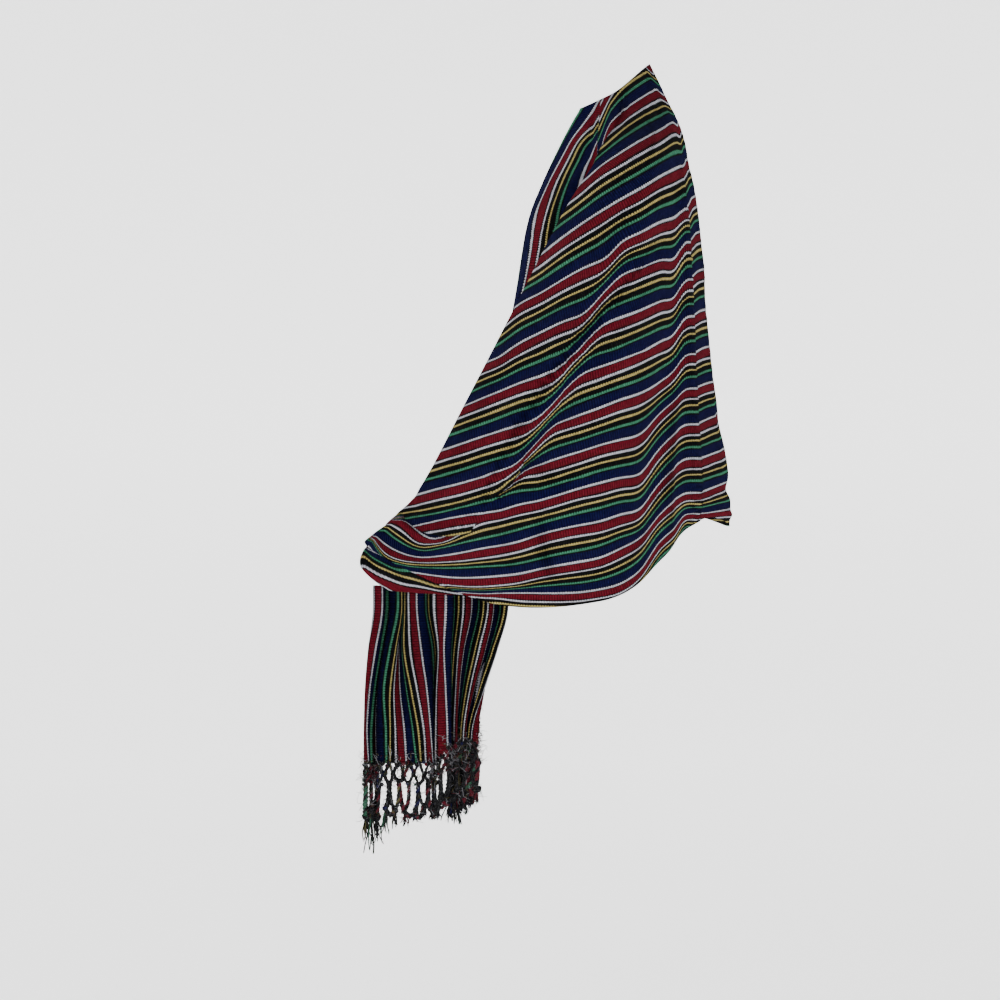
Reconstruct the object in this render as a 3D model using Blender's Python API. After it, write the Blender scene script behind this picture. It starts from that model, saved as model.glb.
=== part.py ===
"""A striped cotton shawl as it is worn, with a knotted net fringe on both ends.

Metres, Z up.  The origin is where the cloth rests, at the base of the neck.  The wearer faces -Y,
so the wearer's left is +X.  The cloth crosses behind the neck, lies over both shoulders, drapes
the upper arms like a cape, crosses each wrist and hangs from it in pleats that end in a net.
"""
import math

import bmesh
import bpy
import numpy as np
from mathutils import Vector
from mathutils.bvhtree import BVHTree

# Driving sizes
WALL = 0.0018
GAP = 0.0003
LEVEL_DROP = 0.105
HALF_GIRTH = 0.62

# Places round the body, from the middle of the back to the front edge of the cloth, and how far
# round each one lies
PLACES = ("back", "trough", "arm", "front of arm", "ridge", "valley", "chest", "selvedge")
ROUND_AT = (0.0, 0.28, 0.50, 0.62, 0.74, 0.83, 0.91, 1.0)
BACK_SEAM = 0.28
FRONT_SEAM = 0.83

# How finely the cloth is divided: closer together where the folds are tight
CLOTH_ROWS = 22
BACK_COLUMNS = (0.0, 0.06, 0.12, 0.17, 0.21, 0.245, BACK_SEAM)
ARM_COLUMNS = (BACK_SEAM, 0.305, 0.335, 0.37, 0.41, 0.45, 0.49, 0.53, 0.57, 0.61, 0.65, 0.69, 0.72,
               0.745, 0.78, FRONT_SEAM)
FRONT_COLUMNS = 5

# The left half of the drape: one row for each level, with x, y, z at each of the places above
LEVELS = (
    ("neck",
     (0.000, 0.012, 0.058), (0.034, 0.003, 0.046), (0.056, -0.020, 0.022), (0.061, -0.031, 0.012),
     (0.064, -0.043, 0.004), (0.066, -0.055, -0.002), (0.068, -0.067, -0.008), (0.070, -0.081, -0.014)),
    ("collar",
     (0.000, 0.027, 0.020), (0.075, 0.019, -0.002), (0.115, -0.014, -0.036), (0.124, -0.031, -0.045),
     (0.124, -0.048, -0.053), (0.114, -0.061, -0.064), (0.095, -0.084, -0.064), (0.062, -0.103, -0.054)),
    ("shoulder",
     (0.000, 0.050, -0.045), (0.130, 0.033, -0.060), (0.192, -0.005, -0.086), (0.182, -0.038, -0.088),
     (0.152, -0.063, -0.092), (0.126, -0.064, -0.102), (0.100, -0.108, -0.114), (0.052, -0.129, -0.108)),
    ("armpit",
     (0.000, 0.069, -0.150), (0.164, 0.036, -0.158), (0.245, -0.030, -0.165), (0.216, -0.080, -0.162),
     (0.162, -0.104, -0.160), (0.130, -0.080, -0.166), (0.104, -0.134, -0.168), (0.050, -0.147, -0.158)),
    ("chest",
     (0.000, 0.078, -0.255), (0.174, 0.038, -0.260), (0.272, -0.050, -0.265), (0.238, -0.122, -0.267),
     (0.172, -0.158, -0.267), (0.137, -0.115, -0.264), (0.112, -0.158, -0.258), (0.060, -0.162, -0.248)),
    ("elbow",
     (0.000, 0.097, -0.380), (0.180, 0.041, -0.382), (0.296, -0.070, -0.388), (0.272, -0.168, -0.390),
     (0.215, -0.218, -0.389), (0.174, -0.150, -0.386), (0.137, -0.188, -0.374), (0.086, -0.182, -0.362)),
    ("forearm",
     (0.000, 0.114, -0.485), (0.185, 0.046, -0.486), (0.310, -0.080, -0.505), (0.295, -0.200, -0.506),
     (0.243, -0.277, -0.498), (0.205, -0.212, -0.496), (0.176, -0.255, -0.482), (0.136, -0.240, -0.462)),
    ("hem",
     (0.000, 0.114, -0.541), (0.186, 0.045, -0.536), (0.298, -0.070, -0.621), (0.302, -0.195, -0.622),
     (0.262, -0.336, -0.558), (0.228, -0.302, -0.545), (0.207, -0.316, -0.536), (0.186, -0.298, -0.528)),
)

# The largest folds: side (1 left, -1 right, 0 both), where each starts, bends and ends as (how far
# round, level), how far it stands out (+) or sinks in (-), and its half width
FOLDS = (
    ("long crease, upper lip", 1, (0.37, 3.3), (0.53, 4.6), (0.60, 6.1), 0.009, 0.013),
    ("long crease, lower side", 1, (0.41, 3.5), (0.57, 4.7), (0.64, 6.1), -0.009, 0.013),
    ("right long crease, lip", -1, (0.36, 3.0), (0.47, 4.3), (0.60, 5.7), 0.009, 0.014),
    ("right long crease, side", -1, (0.40, 3.1), (0.51, 4.4), (0.64, 5.7), -0.009, 0.014),
    ("left trough", 1, (0.28, 2.6), (0.285, 4.8), (0.275, 7.0), -0.013, 0.016),
    ("right trough", -1, (0.28, 2.9), (0.285, 4.8), (0.285, 7.0), -0.012, 0.017),
    ("flank hollow", 1, (0.31, 4.6), (0.345, 5.6), (0.36, 7.0), -0.006, 0.014),
    ("flank roll", 1, (0.34, 4.5), (0.385, 5.6), (0.40, 7.0), 0.007, 0.018),
    ("right flank roll", -1, (0.33, 4.8), (0.39, 5.8), (0.42, 7.0), 0.008, 0.020),
    ("wrist pocket", 1, (0.725, 6.35), (0.69, 6.50), (0.63, 6.30), -0.008, 0.011),
    ("right wrist pocket", -1, (0.725, 6.30), (0.68, 6.45), (0.62, 6.35), -0.008, 0.011),
    ("shoulder tuck", 1, (0.55, 0.3), (0.66, 1.1), (0.74, 2.0), -0.006, 0.011),
    ("right shoulder tuck", -1, (0.53, 0.4), (0.65, 1.1), (0.73, 1.9), -0.006, 0.011),
    ("chest fold", 1, (0.86, 1.7), (0.875, 2.6), (0.88, 3.8), -0.005, 0.011),
    ("right chest fold", -1, (0.87, 1.8), (0.88, 2.8), (0.87, 4.3), -0.005, 0.011),
    ("back fold", 1, (0.10, 1.6), (0.13, 3.6), (0.17, 6.0), -0.005, 0.020),
    ("right back fold", -1, (0.12, 1.5), (0.15, 3.4), (0.15, 5.6), -0.005, 0.020),
    ("back hem flare", 0, (-0.24, 6.15), (0.0, 6.10), (0.24, 6.15), 0.006, 0.016),
)

# How the folds are laid: points traced along each one, and the share of its length at which it has
# faded out at either end
FOLD_POINTS = 31
FOLD_FADE = 0.04

# The wrap over the left wrist, an arch that is open below: one row for each section from its rim
# inwards, with x, y, z along the arch from the outer lower edge to the inner lower edge
WRAP_PLACES = ("outer edge", "outer side", "top", "inner side", "inner edge")
WRAP_SECTIONS = (
    ("rim",
     (0.262, -0.312, -0.609), (0.262, -0.3405, -0.582), (0.236, -0.334, -0.559),
     (0.203, -0.336, -0.576), (0.200, -0.310, -0.603)),
    ("wrist",
     (0.264, -0.280, -0.612), (0.264, -0.290, -0.588), (0.236, -0.292, -0.564),
     (0.200, -0.290, -0.582), (0.196, -0.280, -0.606)),
    ("under the hem",
     (0.264, -0.190, -0.617), (0.264, -0.190, -0.592), (0.236, -0.190, -0.572),
     (0.198, -0.190, -0.588), (0.194, -0.190, -0.610)),
)
WRAP_ROWS = 6
WRAP_COLUMNS = 12

# The pleated end below the left wrist: one row for each fold edge, with the columns top y, top x,
# bottom y and bottom x
PLEATS = (
    (-0.322, 0.238, -0.335, 0.240),
    (-0.315, 0.208, -0.330, 0.206),
    (-0.305, 0.251, -0.321, 0.246),
    (-0.294, 0.207, -0.313, 0.205),
    (-0.282, 0.252, -0.304, 0.247),
    (-0.267, 0.240, -0.275, 0.246),
    (-0.254, 0.252, -0.249, 0.247),
    (-0.244, 0.206, -0.243, 0.206),
    (-0.231, 0.251, -0.236, 0.246),
    (-0.220, 0.207, -0.230, 0.205),
    (-0.207, 0.250, -0.224, 0.245),
    (-0.197, 0.207, -0.218, 0.206),
    (-0.186, 0.249, -0.213, 0.243),
    (-0.170, 0.222, -0.208, 0.220),
)
END_TOP = -0.606
END_BOTTOM_FRONT = -0.822
END_BOTTOM_BACK = -0.795
END_ROWS = 5
PLEAT_ROUNDNESS = 2.5
PLEAT_STEPS = (-0.2, 0.2, 0.5)

# The net fringe: its strip, its rows of knots and its tails
STRIP_HEIGHT = 0.005
CELLS_PER_FOLD = 2
NET_DROPS = (0.015, 0.030, 0.058)
NET_CALM = 3.0
NET_FEEL = 0.08
TAIL_CYCLE = (1.0, 0.6, 0.85, 0.5, 0.75)
TAIL_SWAY = 0.35
TAIL_TURN = 2.4
TAIL_TAPER = 0.5
CORD = 0.0020
KNOT = 0.0038

# How long the tails are along the edge: place from 0 at the front to 1 at the back, and length
TAILS = ((0.0, 0.038), (0.18, 0.032), (0.32, 0.012), (0.62, 0.012), (0.76, 0.030), (1.0, 0.016))

# Each side: its name, its sign along X, and how closely its pleats are pushed together
SIDES = (("left", 1.0, 1.0), ("right", -1.0, 0.92))

# How far a wrap and an end may be moved to be seated, and in how many halvings
WRAP_REACH = 0.05
END_REACH = 0.04
SEAT_STEPS = 14

SHARP_ANGLE = math.radians(50)
NAVY = (0.010, 0.010, 0.085, 1.0)
CRIMSON = (0.160, 0.012, 0.026, 1.0)
MINT = (0.090, 0.350, 0.190, 1.0)
BLACK = (0.010, 0.012, 0.012, 1.0)


def clear_scene():
    for old in list(bpy.data.objects):
        bpy.data.objects.remove(old, do_unlink=True)


def slopes(points, knots):
    """The slope of a smooth curve at each of its points."""
    step = np.diff(knots)[:, None]
    rate = np.diff(points, axis=0) / step
    middle = (rate[:-1] * step[1:] + rate[1:] * step[:-1]) / (step[1:] + step[:-1])
    return np.vstack([rate[:1], middle, rate[-1:]])


def smooth(points, knots, at):
    """Values of a smooth curve through points, which lie at knots, read at the places in at."""
    points = np.asarray(points, float)
    knots = np.asarray(knots, float)
    at = np.asarray(at, float)
    slope = slopes(points, knots)
    i = np.clip(np.searchsorted(knots, at, side="right") - 1, 0, len(knots) - 2)
    span = knots[i + 1] - knots[i]
    f = ((at - knots[i]) / span)[:, None]
    span = span[:, None]
    return ((2 * f ** 3 - 3 * f ** 2 + 1) * points[i] + (f ** 3 - 2 * f ** 2 + f) * span * slope[i]
            + (3 * f ** 2 - 2 * f ** 3) * points[i + 1] + (f ** 3 - f ** 2) * span * slope[i + 1])


def smooth_grid(table, across, rows_at, columns_at):
    """A grid of points on the smooth surface through the sections of a table."""
    sections = np.array([row[-len(across):] for row in table], float)
    levels = np.arange(len(sections), dtype=float)
    columns = [smooth(sections[:, k], levels, rows_at) for k in range(len(across))]
    rows = np.stack(columns, axis=1)
    return np.stack([smooth(row, across, columns_at) for row in rows])


def drape(levels_at, round_at):
    """The smooth worn shape: both halves as one surface, the right the mirror of the left."""
    left = [row[1:] for row in LEVELS]
    mirror = [[(-x, y, z) for x, y, z in reversed(row[1:])] for row in left]
    whole = [tuple(right) + tuple(row) for right, row in zip(mirror, left)]
    across = [-r for r in reversed(ROUND_AT[1:])] + list(ROUND_AT)
    return smooth_grid(whole, across, levels_at, round_at)


def normals(grid):
    """The unit normal at each point of a grid, out of the cloth's right side."""
    down = np.gradient(grid, axis=0)
    across = np.gradient(grid, axis=1)
    out = np.cross(down, across)
    return out / np.linalg.norm(out, axis=2, keepdims=True)


def fold_height(levels_at, round_at):
    """How far the folds push the cloth out at each point of a grid."""
    level, place = np.meshgrid(levels_at, round_at, indexing="ij")
    height = np.zeros_like(level)
    for _, side, start, bend, end, depth, width in FOLDS:
        along = np.linspace(0, 1, FOLD_POINTS)
        path = smooth([start, bend, end], (0.0, 0.5, 1.0), along)
        mirrored = place * (side or 1)
        du = (mirrored[..., None] - path[:, 0]) * HALF_GIRTH
        dv = (level[..., None] - path[:, 1]) * LEVEL_DROP
        far = np.hypot(du, dv)
        nearest = far.argmin(axis=2)
        reached = FOLD_FADE + (1 - 2 * FOLD_FADE) * along[nearest]
        fade = np.sqrt(np.sin(math.pi * reached))
        height += depth * fade * np.exp(-(far.min(axis=2) / width) ** 2)
    return height


def wall(name, grid, out, colour, lower_edge=None):
    """A closed cloth wall of even thickness on a grid of points and their normals."""
    rows, columns = grid.shape[:2]
    sides = np.stack([grid + out * WALL / 2, grid - out * WALL / 2])
    if lower_edge:
        sides[:, -1, :, 2] = lower_edge(sides[:, -1, :, 1])
    points = sides.reshape(-1, 3)
    half = rows * columns

    def at(r, c, side):
        return side * half + r * columns + c

    faces = []
    for r in range(rows - 1):
        for c in range(columns - 1):
            faces.append((at(r, c, 0), at(r + 1, c, 0), at(r + 1, c + 1, 0), at(r, c + 1, 0)))
            faces.append((at(r, c, 1), at(r, c + 1, 1), at(r + 1, c + 1, 1), at(r + 1, c, 1)))
    for r in range(rows - 1):
        for c in (0, columns - 1):
            faces.append((at(r, c, 0), at(r, c, 1), at(r + 1, c, 1), at(r + 1, c, 0)))
    for c in range(columns - 1):
        for r in (0, rows - 1):
            faces.append((at(r, c, 0), at(r, c + 1, 0), at(r, c + 1, 1), at(r, c, 1)))
    return solid(name, points, faces, colour)


def solid(name, points, faces, colour):
    """One closed body with its faces out, and its own plain material."""
    mesh = bpy.data.meshes.new(name)
    mesh.from_pydata([tuple(p) for p in points], [], faces)
    shape = bmesh.new()
    shape.from_mesh(mesh)
    bmesh.ops.triangulate(shape, faces=shape.faces[:])
    bmesh.ops.recalc_face_normals(shape, faces=shape.faces[:])
    if shape.calc_volume(signed=True) < 0:
        bmesh.ops.reverse_faces(shape, faces=shape.faces[:])
    shape.to_mesh(mesh)
    shape.free()
    mesh.shade_smooth()
    mesh.set_sharp_from_angle(angle=SHARP_ANGLE)
    piece = bpy.data.objects.new(name, mesh)
    bpy.context.scene.collection.objects.link(piece)
    cloth = bpy.data.materials.new(name + "_cloth")
    cloth.use_nodes = True
    shader = cloth.node_tree.nodes["Principled BSDF"]
    shader.inputs["Base Color"].default_value = colour
    shader.inputs["Roughness"].default_value = 0.85
    shader.inputs["Metallic"].default_value = 0.0
    mesh.materials.append(cloth)
    return piece


def cut(grid, out, columns, trim_start, trim_end):
    """The part of a grid between two seams, drawn back by half the gap at each seam."""
    part = grid[:, columns].copy()
    side = out[:, columns]
    if trim_start:
        step = part[:, 1] - part[:, 0]
        part[:, 0] += step / np.linalg.norm(step, axis=1, keepdims=True) * GAP / 2
    if trim_end:
        step = part[:, -2] - part[:, -1]
        part[:, -1] += step / np.linalg.norm(step, axis=1, keepdims=True) * GAP / 2
    return part, side


def clearance(points, faces, other):
    """The least distance between a moved shape and another one."""
    tree = BVHTree.FromPolygons([tuple(p) for p in points], faces)
    there = other[2]
    near = min(there.find_nearest(Vector(p))[3] for p in points)
    back = min(tree.find_nearest(Vector(p))[3] for p in other[0])
    crossed = bool(tree.overlap(there))
    return 0.0 if crossed else min(near, back)


def shape_of(piece):
    """A piece's points and faces, with a tree to measure from."""
    points = np.array([tuple(v.co) for v in piece.data.vertices])
    faces = [tuple(f.vertices) for f in piece.data.polygons]
    return points, faces, BVHTree.FromPolygons([tuple(p) for p in points], faces)


def seat(piece, carrier, direction, reach):
    """Move a piece along a direction until it lies one gap from what carries it."""
    points, faces, _ = shape_of(piece)
    other = shape_of(carrier)
    low = 0.0
    high = reach
    for _ in range(SEAT_STEPS):
        middle = (low + high) / 2
        if clearance(points + direction * middle, faces, other) > GAP:
            low = middle
        else:
            high = middle
    for vertex in piece.data.vertices:
        vertex.co += Vector(direction * low)
    return direction * low


def build_drape():
    """The back panel, both arm drapes and both front falls, cut from one surface."""
    back = np.array(BACK_COLUMNS)
    arm = np.array(ARM_COLUMNS)
    front = np.linspace(FRONT_SEAM, 1.0, FRONT_COLUMNS + 1)
    left = np.concatenate([back, arm[1:], front[1:]])
    round_at = np.concatenate([-left[:0:-1], left])
    levels_at = np.linspace(0, len(LEVELS) - 1, CLOTH_ROWS + 1)
    base = drape(levels_at, round_at)
    grid = base + normals(base) * fold_height(levels_at, round_at)[..., None]
    out = normals(grid)
    middle = len(left) - 1
    seam = [middle + s * k for s in (-1, 1) for k in (len(back) - 1, len(back) + len(arm) - 2)]
    right_back, right_front, left_back, left_front = seam
    pieces = {}
    spans = (
        ("right_front_fall", slice(0, right_front + 1), False, True, MINT),
        ("right_arm_drape", slice(right_front, right_back + 1), True, True, CRIMSON),
        ("back_panel", slice(right_back, left_back + 1), True, True, NAVY),
        ("left_arm_drape", slice(left_back, left_front + 1), True, True, CRIMSON),
        ("left_front_fall", slice(left_front, None), True, False, MINT),
    )
    for name, columns, trim_start, trim_end, colour in spans:
        part, side = cut(grid, out, columns, trim_start, trim_end)
        pieces[name] = wall(name, part, side, colour)
    return pieces


def build_wrap(side, hand, carrier):
    """The arch of cloth over one wrist, seated against the inside of the arm drape."""
    across = np.linspace(0, 1, len(WRAP_PLACES))
    rows_at = np.linspace(0, len(WRAP_SECTIONS) - 1, WRAP_ROWS + 1)
    grid = smooth_grid(WRAP_SECTIONS, across, rows_at, np.linspace(0, 1, WRAP_COLUMNS + 1))
    grid[..., 0] *= hand
    out = normals(grid) * -hand
    piece = wall(side + "_wrist_wrap", grid, out, NAVY)
    seat(piece, carrier, np.array([hand, 0.0, 0.0]), WRAP_REACH)
    return piece


def pleat_edges(down, closeness):
    """Where the fold edges stand, as y and x, at one height from 0 at the top to 1 at the end."""
    table = np.array(PLEATS)
    edges = table[:, 0:2] * (1 - down) + table[:, 2:4] * down
    edges[:, 0] = edges[0, 0] + (edges[:, 0] - edges[0, 0]) * closeness
    return edges


def pleat_outline(down, closeness, at):
    """The pleats seen from above, as y and x, at places counted in fold edges."""
    edges = pleat_edges(down, closeness)
    last = len(edges) - 1
    fold = np.clip(np.rint(at), 0, last).astype(int)
    beside = np.clip(fold + np.sign(at - fold).astype(int), 0, last)
    part = np.abs(at - fold) * 2
    run = 1 - (1 - part) ** PLEAT_ROUNDNESS
    rise = part ** PLEAT_ROUNDNESS
    step = (edges[beside] - edges[fold]) / 2
    return edges[fold] + step * np.stack([run, rise], axis=1)


def end_bottom(y):
    """The height of the cloth's end, a little higher towards the back."""
    front = PLEATS[0][2]
    back = PLEATS[-1][2]
    part = (y - front) / (back - front)
    return END_BOTTOM_FRONT + (END_BOTTOM_BACK - END_BOTTOM_FRONT) * part


def build_end(side, hand, closeness, carrier):
    """The pleated end that hangs from one wrist, seated against the inside of the wrap."""
    last = len(PLEATS) - 1
    steps = [fold + step for fold in range(last + 1) for step in PLEAT_STEPS]
    at = np.array([0.0] + [step for step in steps if 0 < step < last] + [last])
    grid = np.zeros((END_ROWS + 1, len(at), 3))
    for r in range(END_ROWS + 1):
        down = r / END_ROWS
        outline = pleat_outline(down, closeness, at)
        bottom = end_bottom(outline[:, 0])
        grid[r, :, 0] = outline[:, 1] * hand
        grid[r, :, 1] = outline[:, 0]
        grid[r, :, 2] = END_TOP + (bottom - END_TOP) * down
    out = normals(grid) * -hand
    piece = wall(side + "_hanging_end", grid, out, CRIMSON, end_bottom)
    return seat(piece, carrier, np.array([hand, 0.0, 0.0]), END_REACH)


def net_frame(place, drop, closeness):
    """A point of the net, with the directions along it and out of it, at a place along the pleated
    edge, counted in fold edges, and a drop below it."""
    at = np.clip([place - NET_FEEL, place, place + NET_FEEL], 0, len(PLEATS) - 1)
    y, x = pleat_outline(1.0, closeness, at).T
    calm = 1 - NET_CALM * drop
    middle = (PLEATS[0][3] + PLEATS[-1][3]) / 2 * (1 - calm)
    x = middle + x * calm
    along = np.array([x[2] - x[0], y[2] - y[0], 0.0])
    along /= np.linalg.norm(along)
    out = np.array([along[1], -along[0], 0.0])
    return np.array([x[1], y[1], -GAP - drop]), along, out


def build_fringe(side, hand, closeness, shift):
    """The net of one end: a strip, rows of knots joined by cords, and tapering tails."""
    flat = []
    outs = []
    faces = []

    def add(place, drop, aside=0.0):
        point, along, out = net_frame(place, drop, closeness)
        flat.append(point + along * aside)
        outs.append(out)
        return len(flat) - 1

    half_cord = CORD / 2
    half_knot = KNOT / 2
    strip = []
    cells = CELLS_PER_FOLD * (len(PLEATS) - 1)
    for k in range(cells + 1):
        place = k / CELLS_PER_FOLD
        for aside in (-CORD, 0.0, CORD):
            strip.append((add(place, 0.0, aside), add(place, STRIP_HEIGHT, aside)))
    for (top_a, low_a), (top_b, low_b) in zip(strip, strip[1:]):
        faces.append((top_a, low_a, low_b, top_b))
    hung = [[strip[3 * k + s][1] for s in range(3)] for k in range(cells + 1)]

    knots = []
    for row, fall in enumerate(NET_DROPS):
        drop = STRIP_HEIGHT + fall
        between = row % 2 == 0
        count = cells if between else cells + 1
        last = row == len(NET_DROPS) - 1
        knots.append([])
        for k in range(count):
            place = (k + 0.5 * between) / CELLS_PER_FOLD
            top = add(place, drop - half_knot)
            right = add(place, drop, half_knot)
            left = add(place, drop, -half_knot)
            if last:
                low_left = add(place, drop + half_knot, -half_cord)
                low_right = add(place, drop + half_knot, half_cord)
                faces.append((top, left, low_left, low_right, right))
                tail(add, faces, low_left, low_right, place, drop + half_knot, k)
                knots[-1].append((top, right, None, left))
            else:
                low = add(place, drop + half_knot)
                faces.append((top, left, low, right))
                knots[-1].append((top, right, low, left))

    for k, (top, right, _, left) in enumerate(knots[0]):
        faces.append((hung[k][1], left, top, hung[k][2]))
        faces.append((hung[k + 1][0], top, right, hung[k + 1][1]))
    for row in range(len(NET_DROPS) - 1):
        between = row % 2 == 0
        for k, (_, right, low, left) in enumerate(knots[row]):
            left_k = k if between else k - 1
            right_k = left_k + 1
            if left_k >= 0:
                top_l, right_l, _, _ = knots[row + 1][left_k]
                faces.append((left, top_l, right_l, low))
            if right_k < len(knots[row + 1]):
                top_r, _, _, left_r = knots[row + 1][right_k]
                faces.append((low, left_r, top_r, right))
    return thicken(side + "_fringe", flat, outs, faces, hand, shift)


def tail(add, faces, low_left, low_right, place, drop, k):
    """A loose yarn end below a knot, tapering and wandering a little to one side."""
    places, lengths = zip(*TAILS)
    share = place / (len(PLEATS) - 1)
    length = float(np.interp(share, places, lengths)) * TAIL_CYCLE[k % len(TAIL_CYCLE)]
    sway = TAIL_SWAY * math.sin(TAIL_TURN * k)
    for part in (0.5, 1.0):
        half = CORD / 2 * (1 - TAIL_TAPER * part)
        aside = sway * part * length
        next_left = add(place, drop + length * part, aside - half)
        next_right = add(place, drop + length * part, aside + half)
        faces.append((low_left, next_left, next_right, low_right))
        low_left = next_left
        low_right = next_right


def thicken(name, flat, outs, faces, hand, shift):
    """A closed body on both sides of a flat net, with a face along each of its free edges."""
    flat = np.array(flat)
    outs = np.array(outs)
    points = np.vstack([flat + outs * CORD / 2, flat - outs * CORD / 2])
    points[:, 2] += end_bottom(points[:, 1])
    points[:, 0] *= hand
    points += shift
    count = len(flat)
    used = {}
    for face in faces:
        for a, b in zip(face, face[1:] + face[:1]):
            used[a, b] = True
    shell = [tuple(face) for face in faces]
    shell += [tuple(i + count for i in reversed(face)) for face in faces]
    for a, b in used:
        if (b, a) not in used:
            shell.append((b, a, a + count, b + count))
    return solid(name, points, shell, BLACK)


def main():
    clear_scene()
    pieces = build_drape()
    for side, hand, closeness in SIDES:
        wrap = build_wrap(side, hand, pieces[side + "_arm_drape"])
        shift = build_end(side, hand, closeness, wrap)
        build_fringe(side, hand, closeness, shift)


main()
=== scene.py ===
# %% [markdown]
# # A striped cotton shawl with a net fringe
# This notebook dresses a plain solid of a worn shawl: one long narrow cloth, woven with stripes
# along its length, that lies behind the neck, falls over both arms like a cape, crosses each wrist
# and hangs from it in pleats. Each end of the cloth is knotted into a net.
# First the solids are loaded. They fix the size and the place of every piece that follows.

# %% Load the solids
import math

import bmesh
import bpy
import numpy as np
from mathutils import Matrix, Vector


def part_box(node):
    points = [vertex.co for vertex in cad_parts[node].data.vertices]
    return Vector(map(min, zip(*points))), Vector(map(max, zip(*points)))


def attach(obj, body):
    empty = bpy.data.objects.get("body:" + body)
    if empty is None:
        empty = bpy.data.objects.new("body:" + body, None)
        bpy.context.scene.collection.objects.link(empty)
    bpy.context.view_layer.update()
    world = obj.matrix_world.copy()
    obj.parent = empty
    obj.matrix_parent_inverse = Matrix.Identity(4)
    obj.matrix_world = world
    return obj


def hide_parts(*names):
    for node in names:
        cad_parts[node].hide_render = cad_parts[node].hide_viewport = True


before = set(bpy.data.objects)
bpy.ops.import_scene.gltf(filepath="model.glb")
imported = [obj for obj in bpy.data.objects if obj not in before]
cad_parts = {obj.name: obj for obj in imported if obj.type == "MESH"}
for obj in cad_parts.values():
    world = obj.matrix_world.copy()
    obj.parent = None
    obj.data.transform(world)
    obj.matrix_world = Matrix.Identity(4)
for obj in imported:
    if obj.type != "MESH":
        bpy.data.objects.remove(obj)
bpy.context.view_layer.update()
print("solids:", sorted(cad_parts))

# %% [markdown]
# ## Camera, floor and light
# The shawl is seen square from the wearer's left, 2.2 m away, at the height of its middle. The
# camera looks along -X, and its lens takes in 1.3 m at the wearer's middle plane.
# A studio floor that curves up into a wall all round gives a pale ground with no horizon. A flat
# plane would be quicker, but its far edge would show as a line behind the cloth. Large area lamps
# give the soft light of a shop photograph.

# %% Camera
EYE = Vector((2.2, -0.182, -0.507))
SEEN = 1.30

camera_data = bpy.data.cameras.new("camera")
camera_data.sensor_width = 36.0
camera_data.lens = 36.0 * EYE.x / SEEN
camera = bpy.data.objects.new("camera", camera_data)
camera.location = EYE
camera.rotation_euler = (math.radians(90), 0.0, math.radians(90))
bpy.context.scene.collection.objects.link(camera)
bpy.context.scene.camera = camera
print("lens:", round(camera_data.lens, 1), "mm")

# %% Floor
FLOOR = -1.36
SWEEP = ((0.0, 0.0), (3.4, 0.0), (3.9, 0.06), (4.3, 0.26), (4.6, 0.62), (4.7, 1.1), (4.7, 3.4))


def sweep_floor():
    """A round floor that curves up into a wall."""
    mesh = bmesh.new()
    rim = [mesh.verts.new((r, 0.0, FLOOR + z)) for r, z in SWEEP]
    edges = [mesh.edges.new(pair) for pair in zip(rim, rim[1:])]
    bmesh.ops.spin(mesh, geom=rim + edges, cent=(0, 0, 0), axis=(0, 0, 1), angle=math.tau, steps=72,
                   use_merge=True)
    bmesh.ops.remove_doubles(mesh, verts=mesh.verts[:], dist=0.0001)
    data = bpy.data.meshes.new("studio_floor")
    mesh.to_mesh(data)
    mesh.free()
    data.shade_smooth()
    floor = bpy.data.objects.new("studio_floor", data)
    bpy.context.scene.collection.objects.link(floor)
    paint = bpy.data.materials.new("studio_white")
    paint.use_nodes = True
    shader = paint.node_tree.nodes["Principled BSDF"]
    shader.inputs["Base Color"].default_value = (0.92, 0.92, 0.92, 1.0)
    shader.inputs["Roughness"].default_value = 0.9
    shader.inputs["Emission Color"].default_value = (1.0, 1.0, 1.0, 1.0)
    shader.inputs["Emission Strength"].default_value = 1.15
    data.materials.append(paint)
    return floor


print("floor faces:", len(sweep_floor().data.polygons))

# %% Lamps and sky
AIM = Vector((0.0, -0.12, -0.45))
LAMPS = (
    ("key", (2.4, -2.2, 1.7), 1.2, 34.0),
    ("fill", (2.4, 1.7, 0.4), 2.0, 7.0),
    ("front", (-0.8, -2.8, 0.8), 1.8, 10.0),
    ("far side", (-2.6, 0.6, 1.2), 2.0, 14.0),
    ("top", (0.2, 0.2, 2.6), 2.0, 12.0),
)
for name, place, width, watts in LAMPS:
    lamp_data = bpy.data.lights.new(name, "AREA")
    lamp_data.size = width
    lamp_data.energy = watts
    lamp = bpy.data.objects.new(name, lamp_data)
    lamp.location = place
    lamp.rotation_euler = (AIM - Vector(place)).to_track_quat("-Z", "Y").to_euler()
    bpy.context.scene.collection.objects.link(lamp)

sky = bpy.data.worlds.new("studio_sky")
sky.use_nodes = True
sky.node_tree.nodes["Background"].inputs["Color"].default_value = (1.0, 1.0, 1.0, 1.0)
sky.node_tree.nodes["Background"].inputs["Strength"].default_value = 0.30
bpy.context.scene.world = sky
print("lamps:", len(LAMPS))

# %% [markdown]
# ## Smooth curves through short tables
# A draped cloth has no straight lines, yet a maker can note it down in a few sizes: how wide it
# hangs at the chest, where its hem lies. Those go in short tables, and a smooth curve fills in
# between them. A Bezier patch would do the same with handles that are harder to read than sizes.

# %% Curves
def slopes(points, knots):
    """The slope of a smooth curve at each of its points."""
    step = np.diff(knots)[:, None]
    rate = np.diff(points, axis=0) / step
    middle = (rate[:-1] * step[1:] + rate[1:] * step[:-1]) / (step[1:] + step[:-1])
    return np.vstack([rate[:1], middle, rate[-1:]])


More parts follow.
